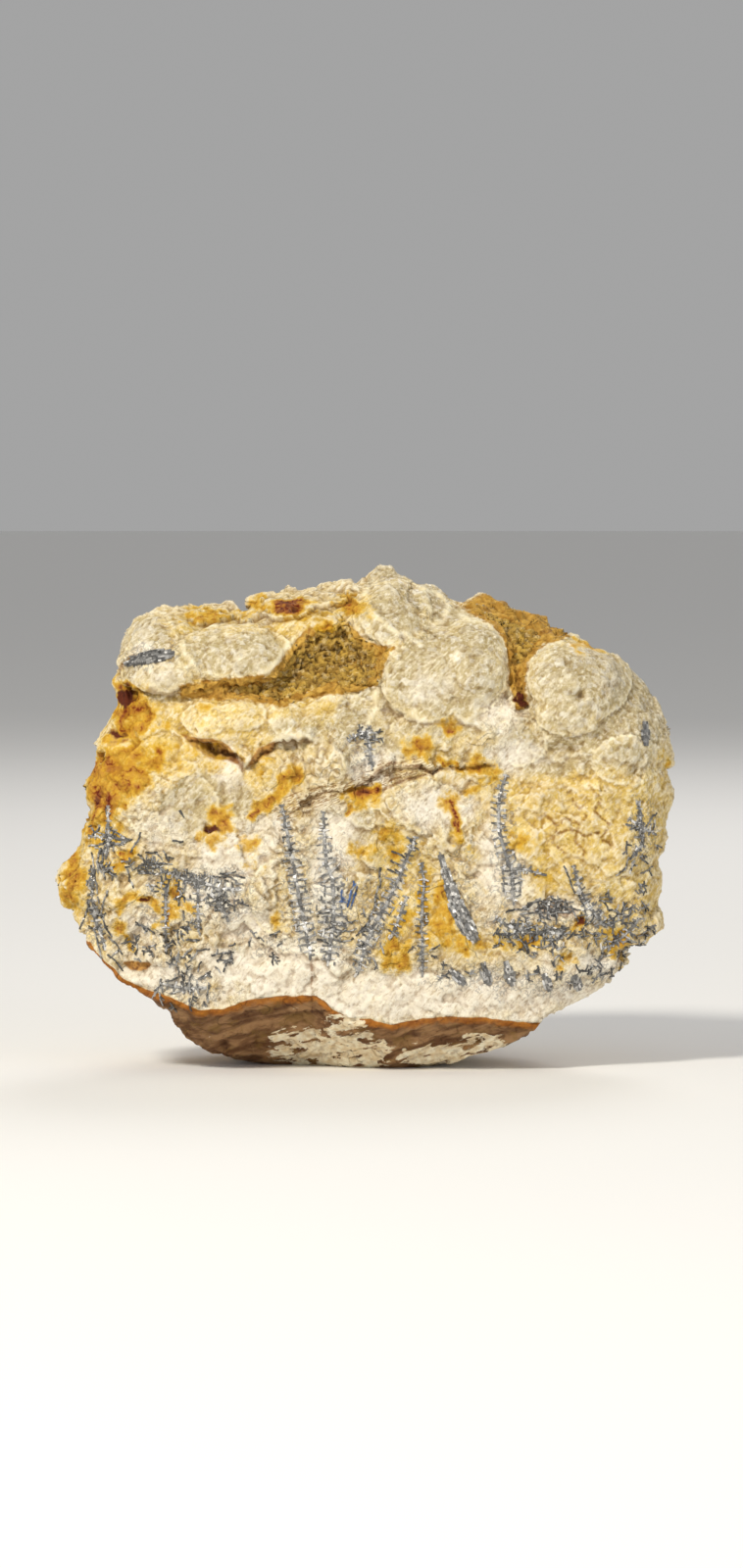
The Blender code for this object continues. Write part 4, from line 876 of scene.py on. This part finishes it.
def lobeField(x, z):
    # the lobes' rise, how near a point is to the edge of its lobe, and the warm band inside that edge
    rise, edge, band = np.zeros((3, len(x)))
    for cx, cz, rx, rz, top in rock["lobes"]:
        away = np.sqrt(((x - cx) / rx) ** 2 + ((z - cz) / rz) ** 2)
        dome = top * (1 - np.clip(away, 0, 1) ** 2) ** 0.5
        inset = (1 - away) * min(rx, rz)
        near = np.exp(-(inset / rock["lobeEdge"]) ** 2) * (away < rock["lobeEnd"])
        edge = np.where(dome >= rise, near, edge)
        band = np.where(dome > rise, ease(1 - inset / rock["lobeBand"]), band)
        rise = np.maximum(rise, dome)
    return rise, edge, band


def rockZones(points, normals):
    # where each kind of surface lies, from 0 to 1
    x, z = warped(points)
    slightX, slightZ = warped(points, rock["slightWarp"])
    front = below(normals[:, 1], *rock["frontNormal"]) * below(points[:, 1], *rock["frontDepth"])
    belowBrow = np.interp(slightX, *zip(*rock["brow"])) + rock["browRise"] - slightZ
    undercut = (softMask(belowBrow, rock["browBand"]) * below(points[:, 1], *rock["undercutDepth"])
                * below(np.abs(x), *rock["undercutSide"]))
    zones = {"front": front, "undercut": undercut, "belowBrow": np.maximum(belowBrow, 0)}
    for name, band in rock["spotBands"].items():
        zones[name] = spotMask(x, z, rock[name], band) * front * (1 - undercut)
    for name, band in rock["loopBands"].items():
        zones[name] = loopMask(slightX, slightZ, rock[name], band) * front
    zones["wrinkles"] = loopMask(x, z, rock["wrinkles"], rock["wrinkleBand"]) * front
    zones["flakes"] = spotMask(x, z, rock["flakes"], rock["flakeBand"]) * undercut
    zones["lobes"], lobeEdge, zones["band"] = lobeField(slightX, slightZ)
    zones["ledges"], zones["lips"], zones["shadows"] = ledgeField(*warped(points, rock["ledgeWarp"]))
    broken = softMask(layer(points, **rock["rimGaps"]) + rock["gapShift"], rock["gapBand"])
    rims = strokeMask(slightX, slightZ, [(line, rock["rimWidth"]) for line in rock["rims"]], rock["rimBand"])
    zones["rims"] = np.maximum(rims, lobeEdge * broken) * front * (1 - undercut)
    cracks = [(line, width) for line, width, depth in rock["cracks"]]
    zones["cracks"] = strokeMask(slightX, slightZ, cracks, rock["crackBand"]) * front
    inset = featherInset(slightX, slightZ) - rock["featherSetback"]
    zones["feather"] = softMask(inset, rock["featherBand"]) * front * (1 - undercut)
    return zones


def sheetField(points):
    # thin sheets that climb to the right across the undercut
    lean = math.radians(rock["sheetLean"])
    x, y, z = points.T
    turned = np.stack([x * math.cos(lean) + z * math.sin(lean), y * rock["sheetDepth"],
                       z * math.cos(lean) - x * math.sin(lean)], axis=1)
    return layer(turned, **rock["undercutSheets"])


def weakened(level, zones, shares):
    # a layer made weaker in some zones, by a share of each
    for zone, share in shares.items():
        level = level * (1 - share * zones[zone])
    return level


def shapeRock(piece):
    points, normals = pointsOf(piece), normalsOf(piece)
    zones = rockZones(points, normals)
    x, z = warped(points, rock["slightWarp"])
    front, under = zones["front"], zones["undercut"]
    zones["smooth"] = np.maximum.reduce([share * zones[name] for name, share in rock["smooth"].items()])
    rough = softMask(layer(points, **rock["roughPatches"]) + rock["roughShift"], rock["roughBand"])
    rough = weakened(rough, zones, rock["weaker"]["rough"])
    rise = layer(points, **rock["swell"]) + zones["lobes"] * front * (1 - under)
    for name in ("breaks", "wideSheets", "smallSheets", "smallBreaks"):
        level = layer(points, **rock[name])
        if name in rock["onRough"]:
            least, more = rock["onRough"][name]
            level = level * (least + more * rough)
        rise += weakened(level, zones, rock["weaker"][name])
    rise += layer(points, **rock["grain"])
    behind = (1 - front) * above(points[:, 1], *rock["backDepth"])
    rise += behind * (layer(points, **rock["backBreaks"]) + layer(points, **rock["backSheets"]))
    crystals = layer(points, **rock["hollowCrystals"]) + layer(points, **rock["hollowLumps"])
    rise += crystals * zones["crustLoops"]
    sheets = sheetField(points)
    flakes, thin = rock["flakeSheets"], rock["thinSheets"]
    rise += (flakes["height"] * terrace(sheets + flakes["shift"], flakes["step"]) * zones["flakes"]
             + thin["height"] * terrace(sheets, thin["step"]) * under)
    rise += layer(points, **rock["folds"]) * zones["wrinkles"]
    rise += layer(points, **rock["featherBed"]) * zones["feather"]
    for line, width, depth in rock["cracks"]:
        rise -= depth * np.exp(-(lineDistance(x, z, line) / width) ** 2) * front
    for cx, cz, width, depth in rock["pits"]:
        rise -= depth * np.exp(-(np.hypot(x - cx, z - cz) / width) ** 2) * front
    rise += (rock["rimHeight"] * zones["rims"] + zones["ledges"] * front * (1 - under)
             - rock["creviceDepth"] * zones["crevices"])
    rise *= above(points[:, 2], rock["baseHeight"], rock["baseBand"])
    points = points + normals * rise[:, None]
    # the rim around each crust stands forward
    lift = rock["crustRim"]
    for loop in rock["crustLoops"]:
        inset = insetOf(x, z, loop)
        points[:, 1] -= lift["height"] * above(inset, 0, lift["slope"]) * below(inset, *lift["inner"]) * front
    points[:, 2] = np.maximum(points[:, 2], 0)
    movePoints(piece, points)


def paintRock(piece):
    points, normals, edges = pointsOf(piece), normalsOf(piece), edgesOf(piece)
    zones = rockZones(points, normals)
    front, back = zones["front"], 1 - zones["front"]
    near, wide = [sunkBy(points, normals, edges, rounds) / whole for rounds, whole in rock["sunk"]]
    # relief: how sunken (red, and blue at a wider size) or raised (green) each point is, for painted shade
    # and highlight
    storeColor(piece, "relief", *[np.clip(depth, 0, 1) for depth in (near, -near, wide)])
    patches = {name: softMask(layeredLumps(points, size, seed) - level, rock["patchBand"])
               for name, (size, seed, level) in rock["backPatches"].items()}
    stained = patches.pop("stain")
    storeColor(piece, "tone", *[np.maximum(zones[name], back * patch) for name, patch in patches.items()])
    x, z = warped(points, rock["stainWarp"])
    strength = np.zeros(len(x))
    for name, (share, spotBand, strokeBand) in rock["stainBands"].items():
        mask = np.maximum(spotMask(x, z, rock[name + "Spots"], spotBand),
                          strokeMask(x, z, rock[name + "Strokes"], strokeBand))
        strength = np.maximum(strength, share * mask)
    onBack = back * rock["backStain"] * stained
    storeColor(piece, "stain", np.maximum(strength * front, onBack), zones["wrinkles"], zones["crustLoops"])
    cracks = np.maximum(zones["cracks"], rock["lensShade"] * zones["lens"])
    storeColor(piece, "shade", zones["crevices"], cracks, zones["feather"])
    storeColor(piece, "deep", zones["undercut"], zones["flakes"], zones["dust"])
    # form: the warm band inside each lobe's edge, a painted highlight along each ledge lip, a painted shadow
    # under it
    storeColor(piece, "form", zones["band"] * front, zones["lips"] * front, zones["shadows"] * front)
    storeColor(piece, "edge", ease(1 - zones["belowBrow"] / rock["browShade"]), zones["rims"],
               spotMask(x, z, rock["darkRed"], rock["darkRedBand"]) * front)


def buildRock():
    piece = mergedCopy("matrix_rock", "matrix_surface")
    closePockets(piece)
    remesh(piece, rock["voxel"], rock["softenRounds"])
    shapeRock(piece)
    thinBehind(piece)
    paintRock(piece)
    pick(piece)
    bpy.ops.object.shade_smooth()
    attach(piece, "root")
    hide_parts("matrix_rock")
    piece.data.calc_loop_triangles()
    print("rock", len(piece.data.polygons), "faces", len(piece.data.loop_triangles), "triangles")
    return piece


# materials
hues = {
    # a colour and its darker partner, mixed in patches
    "cream": ((230, 208, 152), (214, 188, 128)), "yellow": ((240, 209, 112), (222, 186, 82)),
    "shell": ((194, 177, 133), (172, 154, 108)), "chalk": ((250, 244, 231), (240, 230, 210)),
    "rim": ((255, 248, 218), (250, 232, 184)), "hollow": ((208, 166, 78), (172, 126, 46)),
    "crevice": ((208, 152, 62), (146, 92, 32)), "burnt": ((196, 124, 36), (150, 84, 20)),
    "flake": ((255, 248, 222), (226, 202, 158)), "featherBed": ((244, 240, 228), (222, 216, 202)),
    "crust": ((206, 166, 66), (144, 106, 34)), "plain": ((200, 200, 200), (150, 150, 150)),
    # single colours
    "panel": (188, 166, 118), "warmBand": (234, 212, 152), "frost": (252, 240, 208), "dusk": (168, 140, 94),
    "facetLight": (255, 250, 230), "facetShade": (186, 160, 116), "fleckLight": (255, 247, 222),
    "fleckShade": (172, 146, 100), "pepperLight": (253, 245, 220), "pepperShade": (164, 138, 98),
    # next line: painted highlights on sheet edges and on ridges, and a painted shadow at the sheets' foot
    "sheetEdgeHighlight": (254, 246, 220), "sheetFootShadow": (146, 112, 70), "ridgeHighlight": (254, 248, 230),
    # next line: the undercut's two browns are partly a painted shade of its downturned face
    "glint": (255, 252, 242), "fold": (146, 110, 62), "under": (166, 128, 88), "underShade": (104, 70, 42),
    "olive": (134, 104, 50), "leadDust": (124, 120, 118), "vein": (180, 104, 44), "darkRed": (92, 38, 14),
    # next line: a painted shadow under ledge lips, and painted shade in small and wide sunken places
    "lipShadow": (140, 106, 64), "smallRecessShade": (140, 104, 64), "wideRecessShade": (170, 134, 90),
    # next line: the light lead colour stands for painted glints, the blue one for a painted blue glint
    "crack": (160, 112, 66), "lead": (232, 230, 226), "leadShade": (84, 83, 82), "blueGlint": (70, 105, 160),
    # next line: a facet tone, a painted highlight on raised crust, and a painted shade in its sunken places
    "crustFace": (194, 160, 82), "crustRidgeHighlight": (224, 188, 104), "crustRecessShade": (90, 58, 26),
    "crustGlint": (246, 220, 160),
}
# stains: gold at the edge, then ochre, rust and dark brown in the core
stainStops = [(0.24, (234, 208, 128)), (0.38, (222, 180, 54)), (0.56, (200, 148, 32)), (0.72, (176, 116, 22)),
              (0.86, (146, 76, 16)), (1.00, (92, 34, 10))]
bench = {}      # the node tree that the helpers below add to


def tint(red, green, blue):
    # a screen colour, each part from 0 to 255, as a linear one
    linear = [(level / 255 / 12.92) if level < 10.3 else ((level / 255 + 0.055) / 1.055) ** 2.4
              for level in (red, green, blue)]
    return (*linear, 1.0)


def addNode(kind, **settings):
    node = bench["tree"].nodes.new("ShaderNode" + kind)
    for key, value in settings.items():
        setattr(node, key, value)
    return node


def feed(sockets, values):
    for key, value in values.items():
        if isinstance(value, bpy.types.NodeSocket):
            bench["tree"].links.new(value, sockets[key])
        else:
            sockets[key].default_value = value


def wire(kind, values, output=0, **settings):
    # a node with its inputs fed, by name or number, and one of its outputs
    node = addNode(kind, **settings)
    feed(node.inputs, values)
    return node.outputs[output]


def calc(operation, first, second=0.0):
    return wire("Math", {0: first, 1: second}, operation=operation)


def times(first, second):
    return calc("MULTIPLY", first, second)


def plus(first, second):
    return calc("ADD", first, second)


def minus(first, second):
    return calc("SUBTRACT", first, second)


def larger(first, second):
    return calc("MAXIMUM", first, second)


def blend(factor, first, second, how="MIX"):
    return wire("Mix", {0: factor, 6: first, 7: second}, 2, data_type="RGBA", blend_type=how)


def ramp(value, low, high):
    return wire("MapRange", {0: value, 1: low, 2: high}, interpolation_type="SMOOTHSTEP")


def objectSpace(size, stretch=(1, 1, 1), lean=0.0):
    # object coordinates counted in steps of the given size in millimetres, drawn out along each axis by
    # stretch after a lean in degrees that lifts the right-hand side
    place = wire("TexCoord", {}, "Object")
    place = wire("VectorMath", {0: place, "Scale": calc("DIVIDE", 1 / mm, size)}, operation="SCALE")
    if stretch == (1, 1, 1) and not lean:
        return place
    turn = {0: place, "Rotation": (0, -math.radians(lean), 0), "Scale": stretch}
    return wire("Mapping", turn, vector_type="TEXTURE")


def noise(size, detail=3.0, roughness=0.55, stretch=(1, 1, 1), lean=0.0):
    place = objectSpace(size, stretch, lean)
    return wire("TexNoise", {"Vector": place, "Scale": 1.0, "Detail": detail, "Roughness": roughness}, "Fac")


def split(color):
    node = addNode("SeparateColor")
    feed(node.inputs, {0: color})
    return node.outputs


def painted(name):
    return split(wire("Attribute", {}, "Color", attribute_name=name))


def startGroup(name, inputs, outputs):
    bench["tree"] = tree = bpy.data.node_groups.new(name, "ShaderNodeTree")
    for label, value in inputs.items():
        kind = "NodeSocketFloat" if isinstance(value, (int, float)) else "NodeSocketColor"
        tree.interface.new_socket(label, in_out="INPUT", socket_type=kind).default_value = value
    for label, kind in outputs.items():
        tree.interface.new_socket(label, in_out="OUTPUT", socket_type="NodeSocket" + kind)
    return tree.nodes.new("NodeGroupInput").outputs, tree.nodes.new("NodeGroupOutput").inputs


def useGroup(name, **values):
    node = addNode("Group", node_tree=bpy.data.node_groups[name])
    feed(node.inputs, values)
    return node.outputs


def buildGroups():
    # a painted mask whose edge is broken up at a finer size than the mesh
    given, result = startGroup(
        "raggedEdge", {"Mask": 0.0, "Size": 1.0, "Breakup": 0.5, "Softness": 0.1}, {"Factor": "Float"})
    wobble = minus(noise(given["Size"], 4.0, 0.62), 0.5)
    level = plus(given["Mask"], times(wobble, given["Breakup"]))
    feed(result, {"Factor": ramp(level, minus(0.5, given["Softness"]), plus(0.5, given["Softness"]))})

    # two colours mixed in soft patches, with a finer variation of brightness over them
    light, dark = [tint(*hue) for hue in hues["plain"]]
    given, result = startGroup(
        "mottle", {"First": light, "Second": dark, "Size": 4.0, "Contrast": 0.25, "Grain": 0.15},
        {"Color": "Color"})
    low, high = minus(0.5, given["Contrast"]), plus(0.5, given["Contrast"])
    color = blend(ramp(noise(given["Size"], 4.0, 0.6), low, high), given["First"], given["Second"])
    level = plus(1.0, times(minus(noise(0.7, 3.0, 0.7), 0.5), times(given["Grain"], 2.0)))
    grey = wire("CombineColor", {0: level, 1: level, 2: level})
    feed(result, {"Color": blend(1.0, color, grey, "MULTIPLY")})

    # small flat cleavage faces, each turned its own way
    given, result = startGroup(
        "cleavage", {"Size": 1.0, "Tilt": 0.4, "Amount": 1.0},
        {"Normal": "Vector", "Glint": "Float", "Cell": "Float"})
    place = objectSpace(given["Size"])
    cells = wire("TexVoronoi", {"Vector": place, "Scale": 1.0}, "Color", distance="CHEBYCHEV")
    centred = wire("VectorMath", {0: cells, 1: (0.5, 0.5, 0.5)}, operation="SUBTRACT")
    amount = times(given["Tilt"], given["Amount"])
    tilted = wire("VectorMath", {0: centred, "Scale": amount}, operation="SCALE")
    total = wire("VectorMath", {0: wire("NewGeometry", {}, "Normal"), 1: tilted}, operation="ADD")
    parts = split(cells)
    feed(result, {"Normal": wire("VectorMath", {0: total}, operation="NORMALIZE"), "Cell": parts[1],
                  "Glint": times(ramp(parts[0], 0.80, 0.86), given["Amount"])})

    # level sheets with short broken edges: a painted highlight along each edge and a painted shadow at its
    # foot
    given, result = startGroup(
        "sheets", {"Size": 4.0, "Count": 14.0}, {"Height": "Float", "Pale": "Float", "FootShadow": "Float"})
    level = times(noise(given["Size"], 2.6, 0.5), given["Count"])
    part = calc("FRACT", level)
    height = plus(minus(level, part), ramp(part, 0.80, 1.0))
    broken = ramp(noise(times(given["Size"], 0.7), 2.0), 0.50, 0.58)
    pale = larger(ramp(part, 0.88, 0.98), minus(1.0, ramp(part, 0.0, 0.08)))
    dark = times(ramp(part, 0.60, 0.78), minus(1.0, ramp(part, 0.80, 0.88)))
    feed(result, {"Height": calc("DIVIDE", height, given["Count"]), "Pale": times(pale, broken),
                  "FootShadow": times(dark, broken)})

    # height of the stone's own grain
    given, result = startGroup("stoneGrain", {"Size": 1.0, "Crumb": 0.5}, {"Height": "Float"})
    place = objectSpace(times(given["Size"], 0.45))
    crumbs = wire("TexVoronoi", {"Vector": place, "Scale": 1.0}, "Distance")
    feed(result, {"Height": minus(noise(given["Size"], 5.0, 0.65), times(crumbs, given["Crumb"]))})

    # fine worm-like intergrowth of dark strokes
    given, result = startGroup("script", {"Size": 0.9, "Width": 0.05}, {"Factor": "Float"})
    offset = calc("ABSOLUTE", minus(noise(given["Size"], 1.5, 0.5), 0.52))
    feed(result, {"Factor": minus(1.0, ramp(offset, times(given["Width"], 0.5), given["Width"]))})


def mottled(name, size, contrast=0.22, grain=0.12):
    first, second = [tint(*hue) for hue in hues[name]]
    return useGroup("mottle", First=first, Second=second, Size=size, Contrast=contrast, Grain=grain)["Color"]


def ragged(mask, size, breakup, softness):
    return useGroup("raggedEdge", Mask=mask, Size=size, Breakup=breakup, Softness=softness)["Factor"]


def layOver(color, layers):
    # each layer: where it lies, its share there, its colour, and MULTIPLY if it only darkens
    for factor, share, paint, *how in layers:
        paint = tint(*hues[paint]) if isinstance(paint, str) else paint
        color = blend(times(factor, share), color, paint, *how)
    return color


def stainRamp(level):
    node = addNode("ValToRGB")
    for _ in stainStops[2:]:
        node.color_ramp.elements.new(0.5)
    for element, (place, color) in zip(node.color_ramp.elements, stainStops):
        element.position = place
        element.color = tint(*color)
    feed(node.inputs, {0: level})
    return node.outputs[0]


def startMaterial(name):
    material = bpy.data.materials.new(name)
    material.use_nodes = True
    bench["tree"] = material.node_tree
    return material


def finishMaterial(material, surface, relief):
    # the inputs of the surface and those of its relief, the relief's depth in millimetres
    relief["Distance"] *= mm
    surface["Normal"] = wire("Bump", relief)
    feed(material.node_tree.nodes["Principled BSDF"].inputs, surface)
    return material


def rockMaterial():
    material = startMaterial("paleRock")
    tone, stain, shade, deep, edge, relief, form = [
        painted(name) for name in ("tone", "stain", "shade", "deep", "edge", "relief", "form")]
    crystal, chalk = ragged(tone["Red"], 4.0, 1.0, 0.30), ragged(tone["Green"], 3.5, 1.2, 0.35)
    yellow = ragged(tone["Blue"], 5.0, 1.1, 0.4)
    facets = useGroup("cleavage", Size=0.95, Tilt=0.16, Amount=plus(0.25, times(crystal, 0.75)))
    panels = useGroup("cleavage", Size=4.2, Tilt=0.0, Amount=1.0)["Cell"]
    broad = useGroup("sheets", Size=8.0, Count=8.0)
    plain = minus(0.50, times(larger(larger(crystal, chalk), yellow), 0.44))
    patch = ramp(noise(9.0, 2.0), 0.44, 0.60)
    frost = ramp(noise(1.6, 3.0, 0.6, (2.4, 1.0, 0.8), 38.0), 0.50, 0.66)
    dusk = ramp(noise(1.8, 3.0, 0.6, (2.0, 1.0, 0.9), -35.0), 0.50, 0.66)
    flecks = noise(0.75, 2.0, 0.6, (2.6, 1.0, 0.8), 48.0)
    pepper = noise(0.55, 2.0, 0.6)
    # cream, pale yellow and white patches, greyer shell-like lobes, pale rims, painted highlights and glints
    color = layOver(mottled("cream", 7.0, 0.12, 0.16), [
        (yellow, 0.95, mottled("yellow", 5.0, 0.15, 0.12)),
        (crystal, 0.88, mottled("shell", 6.0, 0.12, 0.10)),
        (panels, 0.26, "panel"),
        (ragged(form["Red"], 2.0, 0.8, 0.3), 0.45, "warmBand"),
        (chalk, 0.9, mottled("chalk", 5.0, 0.2, 0.06)),
        (frost, plus(times(patch, 0.50), 0.08), "frost"),
        (dusk, minus(minus(0.30, times(patch, 0.14)), times(chalk, 0.12)), "dusk", "MULTIPLY"),
        (ramp(facets["Cell"], 0.45, 0.95), 0.16, "facetShade", "MULTIPLY"),
        (ramp(facets["Cell"], 0.30, 0.05), 0.16, "facetLight"),
        (ramp(flecks, 0.56, 0.66), 0.45, "fleckLight"),
        (ramp(flecks, 0.44, 0.34), 0.46, "fleckShade", "MULTIPLY"),
        (ramp(pepper, 0.56, 0.68), 0.26, "pepperShade", "MULTIPLY"),
        (ramp(pepper, 0.44, 0.32), 0.26, "pepperLight"),
        (broad["Pale"], plain, "sheetEdgeHighlight"),
        (relief["Green"], 0.40, "ridgeHighlight"),
        # pale rims, and in the same colour a painted highlight along each ledge lip
        (larger(edge["Green"], form["Green"]), 0.85, mottled("rim", 2.0)),
        (facets["Glint"], 0.25, "glint")])
    # the undercut: dusky brown that is partly a painted shade of the downturned face, burnt orange just
    # below the brow, pale flakes
    streaks = ramp(noise(3.6, 4.0, 0.55, (3.4, 1.0, 0.8), 24.0), 0.40, 0.62)
    thin = minus(noise(1.8, 4.0, 0.60, (5.0, 1.0, 0.9), 26.0), 0.5)
    flakes = ramp(plus(times(deep["Green"], 0.76), times(thin, 2.6)), 0.52, 0.62)
    under = layOver(blend(streaks, tint(*hues["underShade"]), tint(*hues["under"])), [
        (ramp(noise(4.5, 5.0, 0.65), 0.50, 0.62), 0.5, "olive"),
        (ragged(edge["Red"], 2.4, 1.6, 0.35), 0.8, mottled("burnt", 1.6)),
        (flakes, 1.0, mottled("flake", 1.5))])
    # folds along the middle ledge, hollows, galena dust, stains with their veins, dark cracks, and painted
    # shade at sheet feet, under lips and in sunken places
    folds = ramp(calc("FRACT", times(noise(1.7, 3.0, 0.55, (5.0, 1.0, 0.9), 20.0), 8.0)), 0.50, 0.85)
    strokes = useGroup("script", Size=1.1, Width=0.060)["Factor"]
    level = plus(stain["Red"], times(minus(noise(2.4, 6.0, 0.66), 0.5), 1.25))
    present = times(ramp(level, 0.14, 0.50), ramp(stain["Red"], 0.02, 0.25))
    veins = useGroup("script", Size=2.0, Width=0.05)["Factor"]
    color = layOver(color, [
        (times(folds, ragged(stain["Green"], 2.0, 0.8, 0.25)), 0.85, "fold"),
        (ragged(stain["Blue"], 2.0, 1.3, 0.16), 1.0, mottled("hollow", 2.0, 0.14, 0.34)),
        (ragged(shade["Red"], 1.5, 0.5, 0.2), 0.9, mottled("crevice", 1.6, 0.2, 0.3)),
        (ragged(deep["Red"], 1.5, 0.3, 0.12), 1.0, under),
        (times(strokes, ragged(deep["Blue"], 2.6, 1.9, 0.12)), 0.5, "leadDust"),
        (ragged(shade["Blue"], 1.2, 1.4, 0.3), 0.70, mottled("featherBed", 1.2, 0.2, 0.1)),
        (present, 0.95, stainRamp(level)),
        (veins, times(present, ramp(level, 0.50, 0.80)), "vein", "MULTIPLY"),
        (ragged(edge["Blue"], 1.0, 1.0, 0.25), 1.0, "darkRed"),
        (broad["FootShadow"], plain, "sheetFootShadow", "MULTIPLY"),
        (form["Blue"], 0.60, "lipShadow", "MULTIPLY"),
        (relief["Red"], 0.40, "smallRecessShade", "MULTIPLY"),
        (times(relief["Blue"], minus(1.0, stain["Blue"])), 0.30, "wideRecessShade", "MULTIPLY"),
        (ragged(shade["Green"], 0.9, 1.6, 0.25), 0.60, "crack", "MULTIPLY")])
    rough = minus(minus(0.80, times(facets["Glint"], 0.40)), times(crystal, 0.15))
    grain = useGroup("stoneGrain", Size=0.9, Crumb=0.25)["Height"]
    height = plus(times(broad["Height"], times(plain, 2.0)), times(grain, 0.09))
    return finishMaterial(material, {"Base Color": color, "Specular IOR Level": 0.25, "Roughness": rough},
                          {"Height": height, "Strength": 1.0, "Distance": 2.2, "Normal": facets["Normal"]})


def galenaMaterial():
    material = startMaterial("leadGrey")
    grain = painted("grain")
    # each bar's tone from dark to light lead grey, the rare light bars painted as glints, and a painted blue
    # glint
    color = blend(grain["Red"], tint(*hues["leadShade"]), tint(*hues["lead"]))
    color = layOver(color, [(grain["Blue"], 1.0, "blueGlint")])
    rough = plus(0.30, times(grain["Green"], 0.3))
    height = useGroup("stoneGrain", Size=0.4, Crumb=0.2)["Height"]
    return finishMaterial(material, {"Base Color": color, "Metallic": 0.5, "Roughness": rough},
                          {"Height": height, "Strength": 0.5, "Distance": 0.1})


def crustMaterial():
    material = startMaterial("ochreCrust")
    relief = painted("relief")
    facets = useGroup("cleavage", Size=0.9, Tilt=0.9, Amount=1.0)
    # facet tone, painted shade in sunken places, a painted highlight on raised ones, and painted glints
    color = layOver(mottled("crust", 3.4, 0.14, 0.3), [
        (facets["Cell"], 0.4, "crustFace"),
        (relief["Red"], 0.7, "crustRecessShade", "MULTIPLY"),
        (relief["Green"], 0.3, "crustRidgeHighlight"),
        (facets["Glint"], 0.4, "crustGlint")])
    rough = minus(0.75, times(facets["Glint"], 0.4))
    height = useGroup("stoneGrain", Size=0.9, Crumb=0.5)["Height"]
    return finishMaterial(material, {"Base Color": color, "Specular IOR Level": 0.3, "Roughness": rough},
                          {"Height": height, "Strength": 0.9, "Distance": 0.5, "Normal": facets["Normal"]})


buildGroups()
paleRock, leadGrey, ochreCrust = rockMaterial(), galenaMaterial(), crustMaterial()
print("materials")

rockPiece = buildRock()
rockPiece.data.materials.append(paleRock)
rockTree = BVHTree.FromObject(rockPiece, bpy.context.evaluated_depsgraph_get())


# the ochre crusts of the two upper hollows
crust = {
    "voxel": 0.34, "rounds": 3, "sunk": (4, 0.2),
    "grow": 0.62, "widen": 1.07,  # outward, and sideways from the middle, to close the gap to the rock
    "crystals": {"field": chips, "size": 1.2, "slope": 0.55, "seed": 21, "crystals": True},
    "swell": {"field": layeredLumps, "height": 0.5, "size": 2.6, "seed": 22},
    "breaks": {"field": chips, "size": 0.8, "slope": 0.4, "seed": 23},
}


def buildCrust(node):
    piece = mergedCopy(node, node.replace("crust", "crystals"))
    remesh(piece, crust["voxel"], crust["rounds"])
    points, normals = pointsOf(piece), normalsOf(piece)
    rise = crust["grow"] + layer(points, **crust["crystals"])
    rise += layer(points, **crust["swell"]) + layer(points, **crust["breaks"])
    points = points + normals * rise[:, None]
    middle = points.mean(axis=0)
    points = middle + (points - middle) * (crust["widen"], 1.0, crust["widen"])
    movePoints(piece, points)
    rounds, whole = crust["sunk"]
    near = sunkBy(points, normalsOf(piece), edgesOf(piece), rounds) / whole
    # sunken and raised points, for painted shade and painted highlight
    storeColor(piece, "relief", np.clip(near, 0, 1), np.clip(-near, 0, 1), near * 0)
    piece.data.materials.append(ochreCrust)
    pick(piece)
    bpy.ops.object.shade_smooth()
    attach(piece, "root")
    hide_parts(node)


for crustNode in ("crust_large_hollow", "crust_right_hollow"):
    buildCrust(crustNode)
print("crusts")


# the galena crystals
for number, (node, arms) in enumerate(feathers.items()):
    dice = random.Random(galena["featherSeed"] + number)
    solid = "blade" in node or "tuft" in node or "spear" in node
    bars = bladeBars(arms, dice) if solid else featherBars(arms, dice)
    light = galena["bladeLight"] if "blade" in node else galena["featherLight"]
    feather = layBars(node.replace("galena", "grains"), bars, dice, light)
    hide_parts(node)
dice = random.Random(galena["twigSeed"])
bars = twigBars(rock["twigs"], dice)
for line in galena["lines"]:
    bars += lineBars(line, dice)
layBars("grains_scattered", bars, dice, galena["twigLight"])
print("galena")
